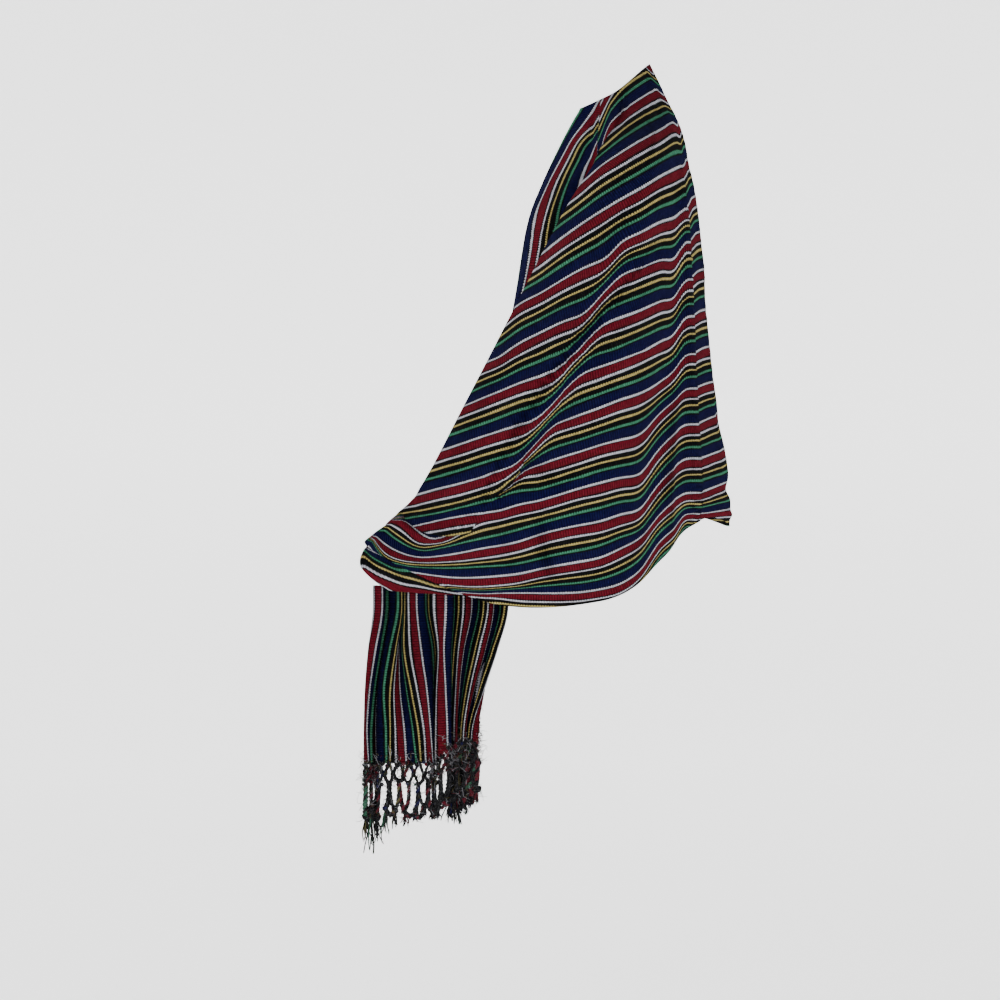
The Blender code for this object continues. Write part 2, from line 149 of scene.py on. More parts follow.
def smooth(points, knots, at):
    """Values of a smooth curve through points, which lie at knots, read at the places in at."""
    points = np.asarray(points, float)
    knots = np.asarray(knots, float)
    at = np.asarray(at, float)
    slope = slopes(points, knots)
    i = np.clip(np.searchsorted(knots, at, side="right") - 1, 0, len(knots) - 2)
    span = knots[i + 1] - knots[i]
    f = ((at - knots[i]) / span)[:, None]
    span = span[:, None]
    return ((2 * f ** 3 - 3 * f ** 2 + 1) * points[i] + (f ** 3 - 2 * f ** 2 + f) * span * slope[i]
            + (3 * f ** 2 - 2 * f ** 3) * points[i + 1] + (f ** 3 - f ** 2) * span * slope[i + 1])


print("halfway through a bend:", smooth([(0.0,), (1.0,), (0.0,)], (0, 1, 2), [0.5]).ravel())

# %% [markdown]
# ## The drape
# This is the long middle of the cloth as it lies on the wearer. Each row of the table is a level
# down the body, and each column a place round it, from the middle of the back to the front edge.
# The right half is the mirror of the left, with folds of its own.
# A cloth simulation could drop a flat strip on a body, but it would need the body and would never
# fall in the folds of the one in the photograph. Setting down the sections keeps those.

# %% Sections of the drape
ROUND_AT = (0.0, 0.28, 0.50, 0.62, 0.74, 0.83, 0.91, 1.0)
LEVEL_DROP = 0.105
HALF_GIRTH = 0.62
LEVELS = (
    ("neck",
     (0.000, 0.012, 0.058), (0.034, 0.003, 0.046), (0.056, -0.020, 0.022), (0.061, -0.031, 0.012),
     (0.064, -0.043, 0.004), (0.066, -0.055, -0.002), (0.068, -0.067, -0.008), (0.070, -0.081, -0.014)),
    ("collar",
     (0.000, 0.027, 0.020), (0.075, 0.019, -0.002), (0.115, -0.014, -0.036), (0.124, -0.031, -0.045),
     (0.124, -0.048, -0.053), (0.114, -0.061, -0.064), (0.095, -0.084, -0.064), (0.062, -0.103, -0.054)),
    ("shoulder",
     (0.000, 0.050, -0.045), (0.130, 0.033, -0.060), (0.192, -0.005, -0.086), (0.182, -0.038, -0.088),
     (0.152, -0.063, -0.092), (0.126, -0.064, -0.102), (0.100, -0.108, -0.114), (0.052, -0.129, -0.108)),
    ("armpit",
     (0.000, 0.069, -0.150), (0.164, 0.036, -0.158), (0.245, -0.030, -0.165), (0.216, -0.080, -0.162),
     (0.162, -0.104, -0.160), (0.130, -0.080, -0.166), (0.104, -0.134, -0.168), (0.050, -0.147, -0.158)),
    ("chest",
     (0.000, 0.078, -0.255), (0.174, 0.038, -0.260), (0.272, -0.050, -0.265), (0.238, -0.122, -0.267),
     (0.172, -0.158, -0.267), (0.137, -0.115, -0.264), (0.112, -0.158, -0.258), (0.060, -0.162, -0.248)),
    ("elbow",
     (0.000, 0.097, -0.380), (0.180, 0.041, -0.382), (0.296, -0.070, -0.388), (0.272, -0.168, -0.390),
     (0.215, -0.218, -0.389), (0.174, -0.150, -0.386), (0.137, -0.188, -0.374), (0.086, -0.182, -0.362)),
    ("forearm",
     (0.000, 0.114, -0.485), (0.185, 0.046, -0.486), (0.310, -0.080, -0.505), (0.295, -0.200, -0.506),
     (0.243, -0.277, -0.498), (0.205, -0.212, -0.496), (0.176, -0.255, -0.482), (0.136, -0.240, -0.462)),
    ("hem",
     (0.000, 0.114, -0.541), (0.186, 0.045, -0.536), (0.298, -0.070, -0.621), (0.302, -0.195, -0.622),
     (0.262, -0.336, -0.558), (0.228, -0.302, -0.545), (0.207, -0.316, -0.536), (0.186, -0.298, -0.528)),
)


def drape(levels_at, round_at):
    """The smooth worn shape: both halves as one surface, the right the mirror of the left."""
    sections = []
    for row in LEVELS:
        mirror = [(-x, y, z) for x, y, z in reversed(row[2:])]
        sections.append(mirror + list(row[1:]))
    sections = np.array(sections)
    across = [-r for r in reversed(ROUND_AT[1:])] + list(ROUND_AT)
    knots = np.arange(len(sections), dtype=float)
    columns = [smooth(sections[:, k], knots, levels_at) for k in range(len(across))]
    rows = np.stack(columns, axis=1)
    return np.stack([smooth(row, across, round_at) for row in rows])


def normals(grid):
    """The unit normal at each point of a grid, out of the cloth's right side."""
    out = np.cross(np.gradient(grid, axis=0), np.gradient(grid, axis=1))
    return out / np.linalg.norm(out, axis=2, keepdims=True)


print("drape:", drape([0.0, 7.0], [-1.0, 0.0, 1.0]).shape)

# %% [markdown]
# ## Folds
# Worn cloth is creased where it is pinched, at the shoulder tuck, the elbow and the wrist, and it
# falls in soft troughs below them. Each fold is a row: where it starts, bends and ends, how far it
# stands out or sinks in, and how wide it is. A displacement picture could hold them, but a row can
# be moved by itself, and the two sides can differ.

# %% Fold table
FOLDS = (
    ("long crease, upper lip", 1, (0.37, 3.3), (0.53, 4.6), (0.60, 6.1), 0.007, 0.013),
    ("long crease, lower side", 1, (0.41, 3.5), (0.57, 4.7), (0.64, 6.1), -0.005, 0.013),
    ("right long crease, lip", -1, (0.36, 3.0), (0.47, 4.3), (0.60, 5.7), 0.009, 0.014),
    ("right long crease, side", -1, (0.40, 3.1), (0.51, 4.4), (0.64, 5.7), -0.009, 0.014),
    ("left trough", 1, (0.28, 2.6), (0.285, 4.8), (0.275, 7.0), -0.013, 0.016),
    ("right trough", -1, (0.28, 2.9), (0.285, 4.8), (0.285, 7.0), -0.012, 0.017),
    ("flank hollow", 1, (0.31, 4.6), (0.345, 5.6), (0.36, 7.0), -0.006, 0.014),
    ("flank roll", 1, (0.34, 4.5), (0.385, 5.6), (0.40, 7.0), 0.007, 0.018),
    ("right flank roll", -1, (0.33, 4.8), (0.39, 5.8), (0.42, 7.0), 0.008, 0.020),
    ("wrist pocket", 1, (0.725, 6.35), (0.69, 6.50), (0.63, 6.30), -0.008, 0.011),
    ("right wrist pocket", -1, (0.725, 6.30), (0.68, 6.45), (0.62, 6.35), -0.008, 0.011),
    ("shoulder tuck", 1, (0.55, 0.3), (0.66, 1.1), (0.74, 2.0), -0.006, 0.011),
    ("right shoulder tuck", -1, (0.53, 0.4), (0.65, 1.1), (0.73, 1.9), -0.006, 0.011),
    ("chest fold", 1, (0.86, 1.7), (0.875, 2.6), (0.88, 3.8), -0.005, 0.011),
    ("right chest fold", -1, (0.87, 1.8), (0.88, 2.8), (0.87, 4.3), -0.005, 0.011),
    ("back fold", 1, (0.10, 1.6), (0.13, 3.6), (0.17, 6.0), -0.005, 0.020),
    ("right back fold", -1, (0.12, 1.5), (0.15, 3.4), (0.15, 5.6), -0.005, 0.020),
    ("back hem flare", 0, (-0.24, 6.15), (0.0, 6.10), (0.24, 6.15), 0.006, 0.016),
)
SMALL_FOLDS = (
    ("sharp line of the long crease", 1, (0.395, 3.4), (0.555, 4.65), (0.622, 6.05), -0.0035, 0.0045),
    ("right sharp line", -1, (0.385, 3.1), (0.49, 4.35), (0.62, 5.65), -0.0035, 0.0045),
    ("sharp line of the trough", 1, (0.262, 3.0), (0.268, 4.9), (0.262, 7.0), -0.0030, 0.005),
    ("right sharp line of the trough", -1, (0.262, 3.3), (0.270, 4.7), (0.266, 7.0), -0.0030, 0.005),
    ("jog above the hem", 1, (0.575, 6.15), (0.58, 6.45), (0.57, 6.80), 0.0026, 0.006),
    ("second jog", 1, (0.555, 6.2), (0.556, 6.5), (0.55, 6.75), -0.0022, 0.005),
    ("elbow pinch", 1, (0.60, 5.2), (0.575, 5.6), (0.54, 5.9), -0.0028, 0.009),
    ("upper arm sag", 1, (0.50, 2.4), (0.56, 3.3), (0.63, 4.2), 0.0030, 0.016),
    ("forearm sag", 1, (0.66, 4.6), (0.67, 5.4), (0.68, 6.1), -0.0026, 0.013),
    ("wrist gather, high", 1, (0.735, 6.05), (0.70, 6.22), (0.66, 6.20), 0.0036, 0.007),
    ("wrist gather, low", 1, (0.74, 6.60), (0.70, 6.72), (0.65, 6.66), 0.0032, 0.007),
    ("wrist gather, lowest", 1, (0.74, 6.80), (0.71, 6.88), (0.67, 6.86), -0.0026, 0.006),
    ("flank pleat", 1, (0.315, 5.1), (0.335, 5.9), (0.335, 6.7), 0.0030, 0.007),
    ("hip pleat", 1, (0.36, 5.9), (0.40, 6.4), (0.47, 6.8), -0.0028, 0.009),
    ("hem roll", 1, (0.42, 6.75), (0.50, 6.85), (0.60, 6.88), 0.0024, 0.008),
    ("shoulder pull", 1, (0.42, 0.8), (0.46, 1.6), (0.50, 2.4), -0.0024, 0.012),
    ("neck pull", 1, (0.30, 0.5), (0.34, 1.2), (0.36, 2.0), 0.0024, 0.013),
    ("tuck lip", 1, (0.585, 0.3), (0.685, 1.1), (0.755, 1.9), 0.0030, 0.007),
    ("collar pleat", 1, (0.87, 0.2), (0.86, 1.0), (0.87, 1.9), 0.0024, 0.007),
    ("right upper arm sag", -1, (0.48, 2.2), (0.55, 3.2), (0.62, 4.3), 0.0030, 0.015),
    ("right forearm sag", -1, (0.65, 4.4), (0.66, 5.3), (0.68, 6.0), -0.0028, 0.012),
    ("right elbow pinch", -1, (0.61, 5.0), (0.58, 5.5), (0.53, 5.9), -0.0030, 0.009),
    ("right wrist gather, high", -1, (0.735, 6.10), (0.70, 6.25), (0.65, 6.20), 0.0036, 0.007),
    ("right wrist gather, low", -1, (0.74, 6.62), (0.69, 6.74), (0.64, 6.70), 0.0032, 0.007),
    ("right flank pleat", -1, (0.32, 5.0), (0.34, 5.8), (0.345, 6.8), -0.0030, 0.008),
    ("right hip pleat", -1, (0.37, 5.8), (0.42, 6.3), (0.48, 6.7), 0.0028, 0.009),
    ("right shoulder pull", -1, (0.41, 0.9), (0.45, 1.7), (0.50, 2.6), -0.0024, 0.012),
    ("right tuck lip", -1, (0.57, 0.4), (0.675, 1.1), (0.745, 1.9), 0.0030, 0.007),
    ("back swag, high", 0, (-0.20, 2.2), (0.0, 2.5), (0.20, 2.2), 0.0022, 0.018),
    ("back swag, middle", 0, (-0.22, 3.5), (0.01, 3.9), (0.21, 3.4), -0.0024, 0.020),
    ("back swag, low", 0, (-0.23, 4.9), (-0.02, 5.3), (0.22, 5.0), 0.0024, 0.018),
    ("back pleat", 1, (0.05, 1.2), (0.06, 3.0), (0.08, 5.2), 0.0022, 0.012),
    ("right back pleat", -1, (0.04, 1.4), (0.07, 3.3), (0.06, 5.0), -0.0022, 0.012),
    ("back hem curl", 0, (-0.22, 6.75), (0.02, 6.72), (0.22, 6.78), -0.0030, 0.010),
    ("front pleat", 1, (0.93, 2.4), (0.94, 4.0), (0.95, 5.6), 0.0030, 0.010),
    ("right front pleat", -1, (0.94, 2.6), (0.93, 4.2), (0.95, 5.4), -0.0028, 0.010),
    ("inner fold", 1, (0.79, 2.6), (0.785, 4.4), (0.79, 6.2), -0.0026, 0.008),
    ("right inner fold", -1, (0.79, 2.5), (0.785, 4.6), (0.79, 6.0), -0.0026, 0.008),
)
FOLD_POINTS = 31
FOLD_FADE = 0.04


def fold_height(levels_at, round_at, folds):
    """How far the folds push the cloth out at each point of a grid."""
    level, place = np.meshgrid(levels_at, round_at, indexing="ij")
    height = np.zeros_like(level)
    for _, side, start, bend, end, depth, width in folds:
        along = np.linspace(0, 1, FOLD_POINTS)
        path = smooth([start, bend, end], (0.0, 0.5, 1.0), along)
        mirrored = place * (side or 1)
        du = (mirrored[..., None] - path[:, 0]) * HALF_GIRTH
        dv = (level[..., None] - path[:, 1]) * LEVEL_DROP
        far = np.hypot(du, dv)
        reached = FOLD_FADE + (1 - 2 * FOLD_FADE) * along[far.argmin(axis=2)]
        height += depth * np.sqrt(np.sin(math.pi * reached)) * np.exp(-(far.min(axis=2) / width) ** 2)
    return height


print("folds:", len(FOLDS), "large and", len(SMALL_FOLDS), "small")

# %% The drape as a fine grid
ROW_SPACES = ((0.0, 4.6, 70), (4.6, 5.8, 32), (5.8, 7.0, 66))
VALLEY = 0.83
CREASE = 0.0022
COLUMN_SPACES = ((0.0, 0.25, 24), (0.25, 0.30, 10), (0.30, 0.55, 32), (0.55, VALLEY - CREASE, 52),
                 (VALLEY - CREASE, VALLEY + CREASE, 2), (VALLEY + CREASE, 1.0, 18))


def spaced(stretches):
    """Places along a line that is split into stretches: from, to and the number of steps."""
    parts = [np.linspace(a, b, n + 1)[:-1] for a, b, n in stretches]
    return np.concatenate(parts + [np.array([stretches[-1][1]])])


left_half = spaced(COLUMN_SPACES)
round_at = np.concatenate([-left_half[:0:-1], left_half])
levels_at = spaced(ROW_SPACES)
smooth_drape = drape(levels_at, round_at)
heights = fold_height(levels_at, round_at, FOLDS + SMALL_FOLDS)
drape_grid = smooth_drape + normals(smooth_drape) * heights[..., None]
print("grid:", drape_grid.shape, "stands out at most", round(float(heights.max() * 1000), 1), "mm")

# %% [markdown]
# ## Where the stripes run
# The stripes are woven in, so they show how the cloth lies: they are level on the back, slope down
# along the arm, crowd together where a crease swallows cloth, and run down the front edge.
# Counted in repeats from the upper selvedge, each stripe has a number. The table says how high
# a few of them lie at places along the wearer's side, in millimetres, and the rest fall between.
# Above the wrist a small flap of cloth lies over the arm. Its stripes have a table of their own, and
# the flap's edge says where one table ends and the other starts.
# A picture wrapped round the cloth could not follow the creases as closely.

# %% Stripe heights
REPEAT = 0.04375
SIDE_PLACES = (57, 47, 26, 0, -26, -52, -78, -104, -130, -156, -182, -208, -234, -260, -286, -312, -338,
               -351)
SHARED_STRIPES = (
    (1.57, 23, 25, 20, 6, -13, -39, -62, -81, -101, -122, -143, -164, -182, -200, -218, -237, -255, -264),
    (2.57, -26, -23, -35, -49, -65, -81, -104, -124, -143, -164, -187, -208, -226, -244, -263, -281, -299,
     -308),
    (3.57, -81, -86, -96, -113, -127, -143, -159, -177, -198, -216, -237, -257, -276, -294, -312, -330,
     -347, -356),
    (4.57, -138, -148, -155, -169, -182, -203, -217, -231, -246, -259, -281, -299, -317, -335, -354, -372,
     -389, -398),
    (5.57, -178, -198, -203, -214, -228, -247, -273, -285, -298, -311, -328, -339, -356, -373, -390, -407,
     -424, -432),
    (6.57, -228, -248, -257, -269, -280, -292, -315, -338, -354, -363, -373, -384, -394, -406, -421, -437,
     -452, -459),
    (7.57, -276, -296, -309, -322, -333, -343, -356, -381, -403, -416, -426, -434, -443, -451, -460, -469,
     -478, -482),
    (8.57, -324, -343, -361, -377, -385, -395, -404, -415, -438, -463, -476, -486, -494, -500, -507, -514,
     -520, -523),
)
SIDE_STRIPES = SHARED_STRIPES + (
    (9.00, -343, -359, -378, -399, -407, -416, -425, -433, -450, -466, -495, -507, -515, -521, -526, -530,
     -534, -536),
    (9.57, -369, -380, -400, -429, -437, -443, -452, -460, -468, -472, -495.2, -507.2, -515.2, -521.2,
     -526.2, -530.2, -534.2, -536.2),
    (10.00, -389, -399, -420, -451, -459, -465, -473, -481, -489, -491, -497, -508, -524, -535, -532,
     -530.4, -534.4, -536.4),
    (10.42, -409, -418, -439, -472, -478, -485, -492, -500, -508, -513, -521, -525, -543.4, -561, -550,
     -530.6, -534.6, -536.6),
    (10.57, -416, -425, -447, -481, -486, -493, -499, -507, -515, -520, -528, -532, -547, -562, -559, -534,
     -535, -537),
    (10.72, -423, -432, -454, -488, -493, -501, -506, -514, -522, -527, -534, -539, -551, -563, -565.5,
     -546, -536, -537.5),
    (10.89, -430, -439, -461, -495, -501, -508, -514, -522, -529, -535, -542, -548, -556, -564.6, -569,
     -554, -537, -538),
    (11.08, -438, -447, -470, -504, -509, -517, -523, -530, -538, -545, -552, -557, -562, -567, -572.6,
     -561, -543, -538.5),
    (11.42, -453, -462, -484, -518, -526, -535, -540, -545, -552, -561, -567, -570.7, -575.9, -579.8,
     -582.4, -576, -560, -546),
    (11.57, -460, -469, -490, -526, -534, -543, -547, -552, -559, -568, -571, -577, -582, -585, -587.5,
     -582, -566, -548),
    (11.72, -467, -475, -496, -531, -541, -550, -554, -559, -566, -574, -580, -584, -587.6, -589.5, -590,
     -586.5, -571, -550),
    (12.08, -482, -490, -512, -545, -555, -566, -572, -577, -583, -589, -592, -592.8, -594, -594, -593,
     -591, -577, -552),
    (12.42, -498, -505, -525, -556, -570, -582, -587, -592, -597, -603, -606, -607.8, -608.4, -605.8,
     -601.3, -595, -584, -567),
    (12.57, -504, -512, -530, -562, -577, -589, -594, -598, -603, -610, -613, -615, -615, -612, -607.8,
     -601, -589, -571),
    (12.72, -508, -517, -535, -568, -584, -595, -600, -604, -609, -616, -620, -622, -622, -620, -614, -607,
     -595, -576),
    (13.42, -525, -540, -560, -598, -616, -623, -627, -628, -628, -627, -627, -628, -626, -624, -617, -610,
     -598, -581),
    (13.57, -529, -545, -566, -604, -623, -629, -633, -634, -634, -633, -631, -630, -627.5, -625, -618,
     -611, -599, -582),
    (13.72, -533, -550, -571, -609, -628, -635, -639, -640, -640, -639, -635, -632.5, -629, -626, -619,
     -612, -600, -583),
    (13.89, -537, -555, -576, -613, -633, -640, -644, -645, -645, -644, -641, -639.6, -634, -629, -621,
     -614, -602, -585),
)
FLAP_STRIPES = SHARED_STRIPES + (
    (9.00, -343, -359, -378, -399, -407, -416, -425, -433, -450, -471, -499, -507, -515, -521, -526, -530,
     -534, -536),
    (9.42, -409, -418, -439, -472, -478, -485, -492, -500, -508, -513, -521, -524.6, -527.8, -533.6,
     -540, -546, -551, -554),
    (9.57, -416, -425, -447, -481, -486, -493, -499, -507, -515, -520, -528, -531.7, -535, -539.5, -544.7,
     -550, -556, -559),
    (9.72, -423, -432, -454, -488, -493, -501, -506, -514, -522, -527, -534, -538.8, -543.4, -548, -552.5,
     -557, -561, -564),
    (10.57, -460, -469, -490, -526, -534, -543, -547, -552, -559, -568, -571, -576, -581, -586, -590, -594,
     -598, -600),
)
LONG_CREASE = ((-23, -182), (-43, -234), (-62, -280), (-84, -325), (-101, -360), (-130, -412),
               (-153, -460))
GATHERED = 0.9
GATHER_WIDTH = 0.021
GATHER_FADE = 0.03
GATHER_PAST = 0.02
BACK_CURVE = 1.5
FLAP_EDGE = (
    (-148, -440, 0.0), (-151, -460, 0.7), (-157, -473, 1.0), (-166, -486, 1.0), (-182, -499, 0.7),
    (-195, -514, 0.1), (-205, -527, 0.0), (-213, -538, 0.1), (-221, -550, 0.4), (-234, -553, 0.7),
    (-247, -554, 0.9), (-260, -554, 1.0), (-273, -552, 1.0), (-283, -549, 1.0), (-295, -543, 1.0),
    (-305, -532, 0.9), (-314, -520, 0.7), (-331, -494, 0.0),
)
BACK_STRIPES = (
    ("number", 1.57, 2.57, 3.57, 4.57, 5.57, 6.57, 7.57, 8.57, 9.57, 10.57, 11.57, 12.57, 13.57),
    ("middle", 21, -23, -73, -117, -166, -214, -268, -313, -359, -400, -446, -488, -523),
    ("trough", -20, -65, -115, -168, -205, -250, -295, -339, -380, -423, -464, -505, -527),
)


print("stripes followed:", len(SIDE_STRIPES), "in repeats of", REPEAT * 1000, "mm")


# %% Reading the tables
def seen_from_side(points):
    """Where points appear on the wearer's middle plane, seen by the camera: forward and up."""
    near = EYE.x / (EYE.x - np.abs(points[..., 0]))
    return EYE.y + (points[..., 1] - EYE.y) * near, EYE.z + (points[..., 2] - EYE.z) * near


def number_at(height, lines, numbers):
    """The stripe number at a height, between the heights of numbered lines, top line first."""
    below = (height[..., None] < lines).sum(axis=-1)
    i = np.clip(below - 1, 0, len(numbers) - 2)
    top = np.take_along_axis(lines, i[..., None], axis=-1)[..., 0]
    low = np.take_along_axis(lines, i[..., None] + 1, axis=-1)[..., 0]
    share = (top - height) / (top - low)
    return numbers[i] + (numbers[i + 1] - numbers[i]) * share


def gathered(forward, up):
    """Places moved away from the long crease, so that the stripes bend sharply where they cross it."""
    line = np.array(LONG_CREASE[::-1]) / 1000
    beside = forward - np.interp(up, line[:, 1], line[:, 0])
    low = np.clip((up - line[0, 1] + GATHER_PAST) / GATHER_FADE, 0, 1)
    high = np.clip((line[-1, 1] + GATHER_PAST - up) / GATHER_FADE, 0, 1)
    return forward + beside * low * high * GATHERED * np.exp(-(beside / GATHER_WIDTH) ** 2)


def side_numbers(points, stripes, places):
    """Stripe numbers from a table of the side that the camera sees."""
    forward, up = seen_from_side(points)
    forward = gathered(forward, up)
    places = np.array(places[::-1]) / 1000
    table = np.array([row[1:][::-1] for row in stripes]) / 1000
    numbers = np.array([row[0] for row in stripes])
    flat = np.clip(forward.ravel(), places[0], places[-1])
    lines = smooth(table.T, places, flat).reshape(forward.shape + (len(numbers),))
    lines = np.minimum.accumulate(lines - np.arange(len(numbers)) * 1e-6, axis=-1)
    return number_at(up, lines, numbers)


def flap_side(points):
    """How far points lie above the edge of the flap, below it if negative, and how deep it is there."""
    forward, up = seen_from_side(points)
    edge = np.array(FLAP_EDGE)
    best = np.full(forward.shape, 9.0)
    signed = np.zeros(forward.shape)
    depth = np.zeros(forward.shape)
    for (a, b, s), (c, d, e) in zip(edge, edge[1:]):
        a, b, c, d = a / 1000, b / 1000, c / 1000, d / 1000
        along = ((forward - a) * (c - a) + (up - b) * (d - b)) / ((c - a) ** 2 + (d - b) ** 2)
        along = np.clip(along, 0, 1)
        far = np.hypot(forward - a - along * (c - a), up - b - along * (d - b))
        turn = (c - a) * (up - b) - (d - b) * (forward - a)
        nearer = far < best
        best = np.where(nearer, far, best)
        signed = np.where(nearer, np.where(turn > 0, -far, far), signed)
        depth = np.where(nearer, s + (e - s) * along, depth)
    return signed, depth


def back_numbers(points, place):
    """Stripe numbers on the back, between its middle and the trough beside it."""
    numbers = np.array(BACK_STRIPES[0][1:])
    middle = np.array(BACK_STRIPES[1][1:]) / 1000
    trough = np.array(BACK_STRIPES[2][1:]) / 1000
    share = np.clip(np.abs(place) / ROUND_AT[1], 0, 1)[..., None] ** BACK_CURVE
    return number_at(points[..., 2], middle + (trough - middle) * share, numbers)


halfway = number_at(np.array([-0.24]), np.array([[0.02, -0.5]]), np.array([1.57, 13.57]))
print("number halfway between two lines:", round(float(halfway[0]), 2))

# %% [markdown]
# The front edge of the cloth falls from the neck, so its stripes run almost upright beside the
# selvedge. They meet the sloping stripes of the arm in a deep valley that swallows some cloth.
# Both sides of that valley are numbered by themselves: the arm's side on from the arm, and the
# front edge from its own selvedge. Averaging each number a little with its neighbours keeps thin
# stripes from turning jagged where many of them crowd together.

# %% Stripe numbers over the whole drape
BACK_JOIN = (0.17, 0.29)
NUMBER_EVENING = 2
ARM_END = 0.73
SELVEDGE = 0.04
FRONT_PLACES = (VALLEY, 0.91, 1.0)
FRONT_STRIPES = (
    (0.0, 0.45, 0.24, 0.05),
    (0.5, 0.80, 0.46, 0.05),
    (1.0, 1.40, 0.80, 0.05),
    (1.5, 1.65, 0.82, 0.08),
    (2.0, 1.75, 0.80, 0.12),
    (2.5, 1.85, 0.68, 0.14),
    (3.0, 1.90, 0.52, 0.15),
    (3.5, 1.75, 0.38, 0.10),
    (4.0, 1.65, 0.34, 0.05),
    (5.0, 2.10, 0.95, 0.04),
    (6.0, 2.05, 0.92, 0.04),
    (7.0, 1.30, 0.62, 0.04),
)


def arc_from(points, start):
    """Lengths along each row of a grid, counted from one of its columns."""
    step = np.linalg.norm(np.diff(points, axis=1), axis=2)
    length = np.concatenate([np.zeros((len(points), 1)), np.cumsum(step, axis=1)], axis=1)
    return length - length[:, start:start + 1]


def evened(values, times):
    """The average of each point of a grid and its four neighbours, taken several times."""
    for _ in range(times):
        padded = np.pad(values, 1, mode="edge")
        values = (padded[:-2, 1:-1] + padded[2:, 1:-1] + padded[1:-1, :-2] + padded[1:-1, 2:] + values) / 5
    return values


def half_numbers(points, place, stripes, seen):
    """Stripe numbers of one half of the drape, from the middle of the back to the front edge."""
    count = back_numbers(points, place[None, :] + np.zeros(points.shape[:2]))
    side = side_numbers(points, stripes, SIDE_PLACES)
    share = np.clip((place - BACK_JOIN[0]) / (BACK_JOIN[1] - BACK_JOIN[0]), 0, 1)
    share = share * share * (3 - 2 * share)
    count = evened(count * (1 - share) + side * share, NUMBER_EVENING)
    end = int(np.searchsorted(place, ARM_END))
    arc = arc_from(smooth_drape[:, -len(place):], end)
    inner = count[:, end:end + 1] - arc / REPEAT
    count = np.where(place > ARM_END, inner, count)
    table = np.array(FRONT_STRIPES)
    rows = smooth(table[:, 1:], table[:, 0], levels_at)
    front = np.stack([np.interp(place, FRONT_PLACES, row) for row in rows])
    if not seen:
        front = SELVEDGE - arc_from(smooth_drape[:, -len(place):], len(place) - 1) / REPEAT
    return np.where(place > VALLEY, front, count)


def both_halves(work):
    """The same work on the left half and on the right one, joined into the whole drape."""
    middle = len(left_half) - 1
    left = work(drape_grid[:, middle:], True)
    right = work(drape_grid[:, middle::-1], False)
    return np.concatenate([right[:, :0:-1], left], axis=1)


drape_numbers = both_halves(lambda points, seen: half_numbers(points, left_half, SIDE_STRIPES, seen))
flap_numbers = both_halves(lambda points, seen: half_numbers(points, left_half, FLAP_STRIPES, seen))
flap_height = both_halves(lambda points, seen: flap_side(points)[0])
flap_depth = both_halves(lambda points, seen: flap_side(points)[1])
FLAP_FROM = 0.45
NO_FLAP = -0.1
on_arm = (np.abs(round_at) > FLAP_FROM) & (np.abs(round_at) < VALLEY)
flap_height = np.where(on_arm, flap_height, NO_FLAP)
print("stripe numbers:", round(float(drape_numbers.min()), 2), "to", round(float(drape_numbers.max()), 2))

# %% [markdown]
# A crease is darker than the cloth beside it, more than its shallow relief alone would be, because
# the real one folds under. So each point gets a shade from how far it lies below its surroundings,
# with the small folds counted in full, and the cloth just under the flap's edge gets one too.

# %% Shade in the creases
SPREAD = 8
LARGE_SHARE = 0.35
FULL_SHADE = 0.0019
FLAP_SHADOW = 0.0045

relief = fold_height(levels_at, round_at, SMALL_FOLDS)
relief = relief + (heights - relief) * LARGE_SHARE
crease_shade = np.clip((evened(relief, SPREAD) - relief) / FULL_SHADE, -0.20, 0.8)
under_flap = np.exp(-(flap_height / FLAP_SHADOW) ** 2) * np.where(flap_height < 0, 1.0, 0.35)
crease_shade = np.maximum(crease_shade, flap_depth * under_flap * 0.9)
print("deepest shade:", round(float(crease_shade.max()), 2))

# %% [markdown]
# ## How far along the cloth
# The weft crosses the stripes at right angles, so its ribs need a second number that grows along
# them. Each step of the grid has a known part that runs along the stripes. Walking outwards from
# the back adds those parts up, and passing every point the average of what its neighbours say
# evens out what is left. An unwrapped map would do this too, but not with its rows on the weft.

# %% Length along the stripes
EVENING = 260


def along_cloth(grid, numbers):
    """A length at each point of a grid that grows along the stripes."""
    down = np.gradient(grid, axis=0)
    across = np.gradient(grid, axis=1)
    number_down = np.gradient(numbers, axis=0)
    number_across = np.gradient(numbers, axis=1)
    along = across * number_down[..., None] - down * number_across[..., None]
    along /= np.linalg.norm(along, axis=2, keepdims=True) + 1e-12
    step_across = np.diff(grid, axis=1)
    step_down = np.diff(grid, axis=0)
    gain_across = (step_across * (along[:, 1:] + along[:, :-1]) / 2).sum(axis=2)
    gain_down = (step_down * (along[1:] + along[:-1]) / 2).sum(axis=2)
    start = grid.shape[1] // 2
    length = np.zeros(grid.shape[:2])
    length[:, 1:] = np.cumsum(gain_across, axis=1)
    length -= length[:, start:start + 1]
    length += np.concatenate([[0], np.cumsum(gain_down[:, start])])[:, None]
    for _ in range(EVENING):
        total = np.zeros_like(length)
        count = np.zeros_like(length)
        total[:, 1:] += length[:, :-1] + gain_across
        total[:, :-1] += length[:, 1:] - gain_across
        total[1:] += length[:-1] + gain_down
        total[:-1] += length[1:] - gain_down
        count[:, 1:] += 1
        count[:, :-1] += 1
        count[1:] += 1
        count[:-1] += 1
        length = total / count
    return length


drape_length = along_cloth(drape_grid, drape_numbers)
print("cloth on the wearer:", round(float(np.ptp(drape_length)), 2), "m from front edge to front edge")

# %% [markdown]
# ## Shader arithmetic
# A material is easier to read when its sums look like sums. The small class below wraps a socket,
# so that adding or multiplying two of them adds the Math nodes.

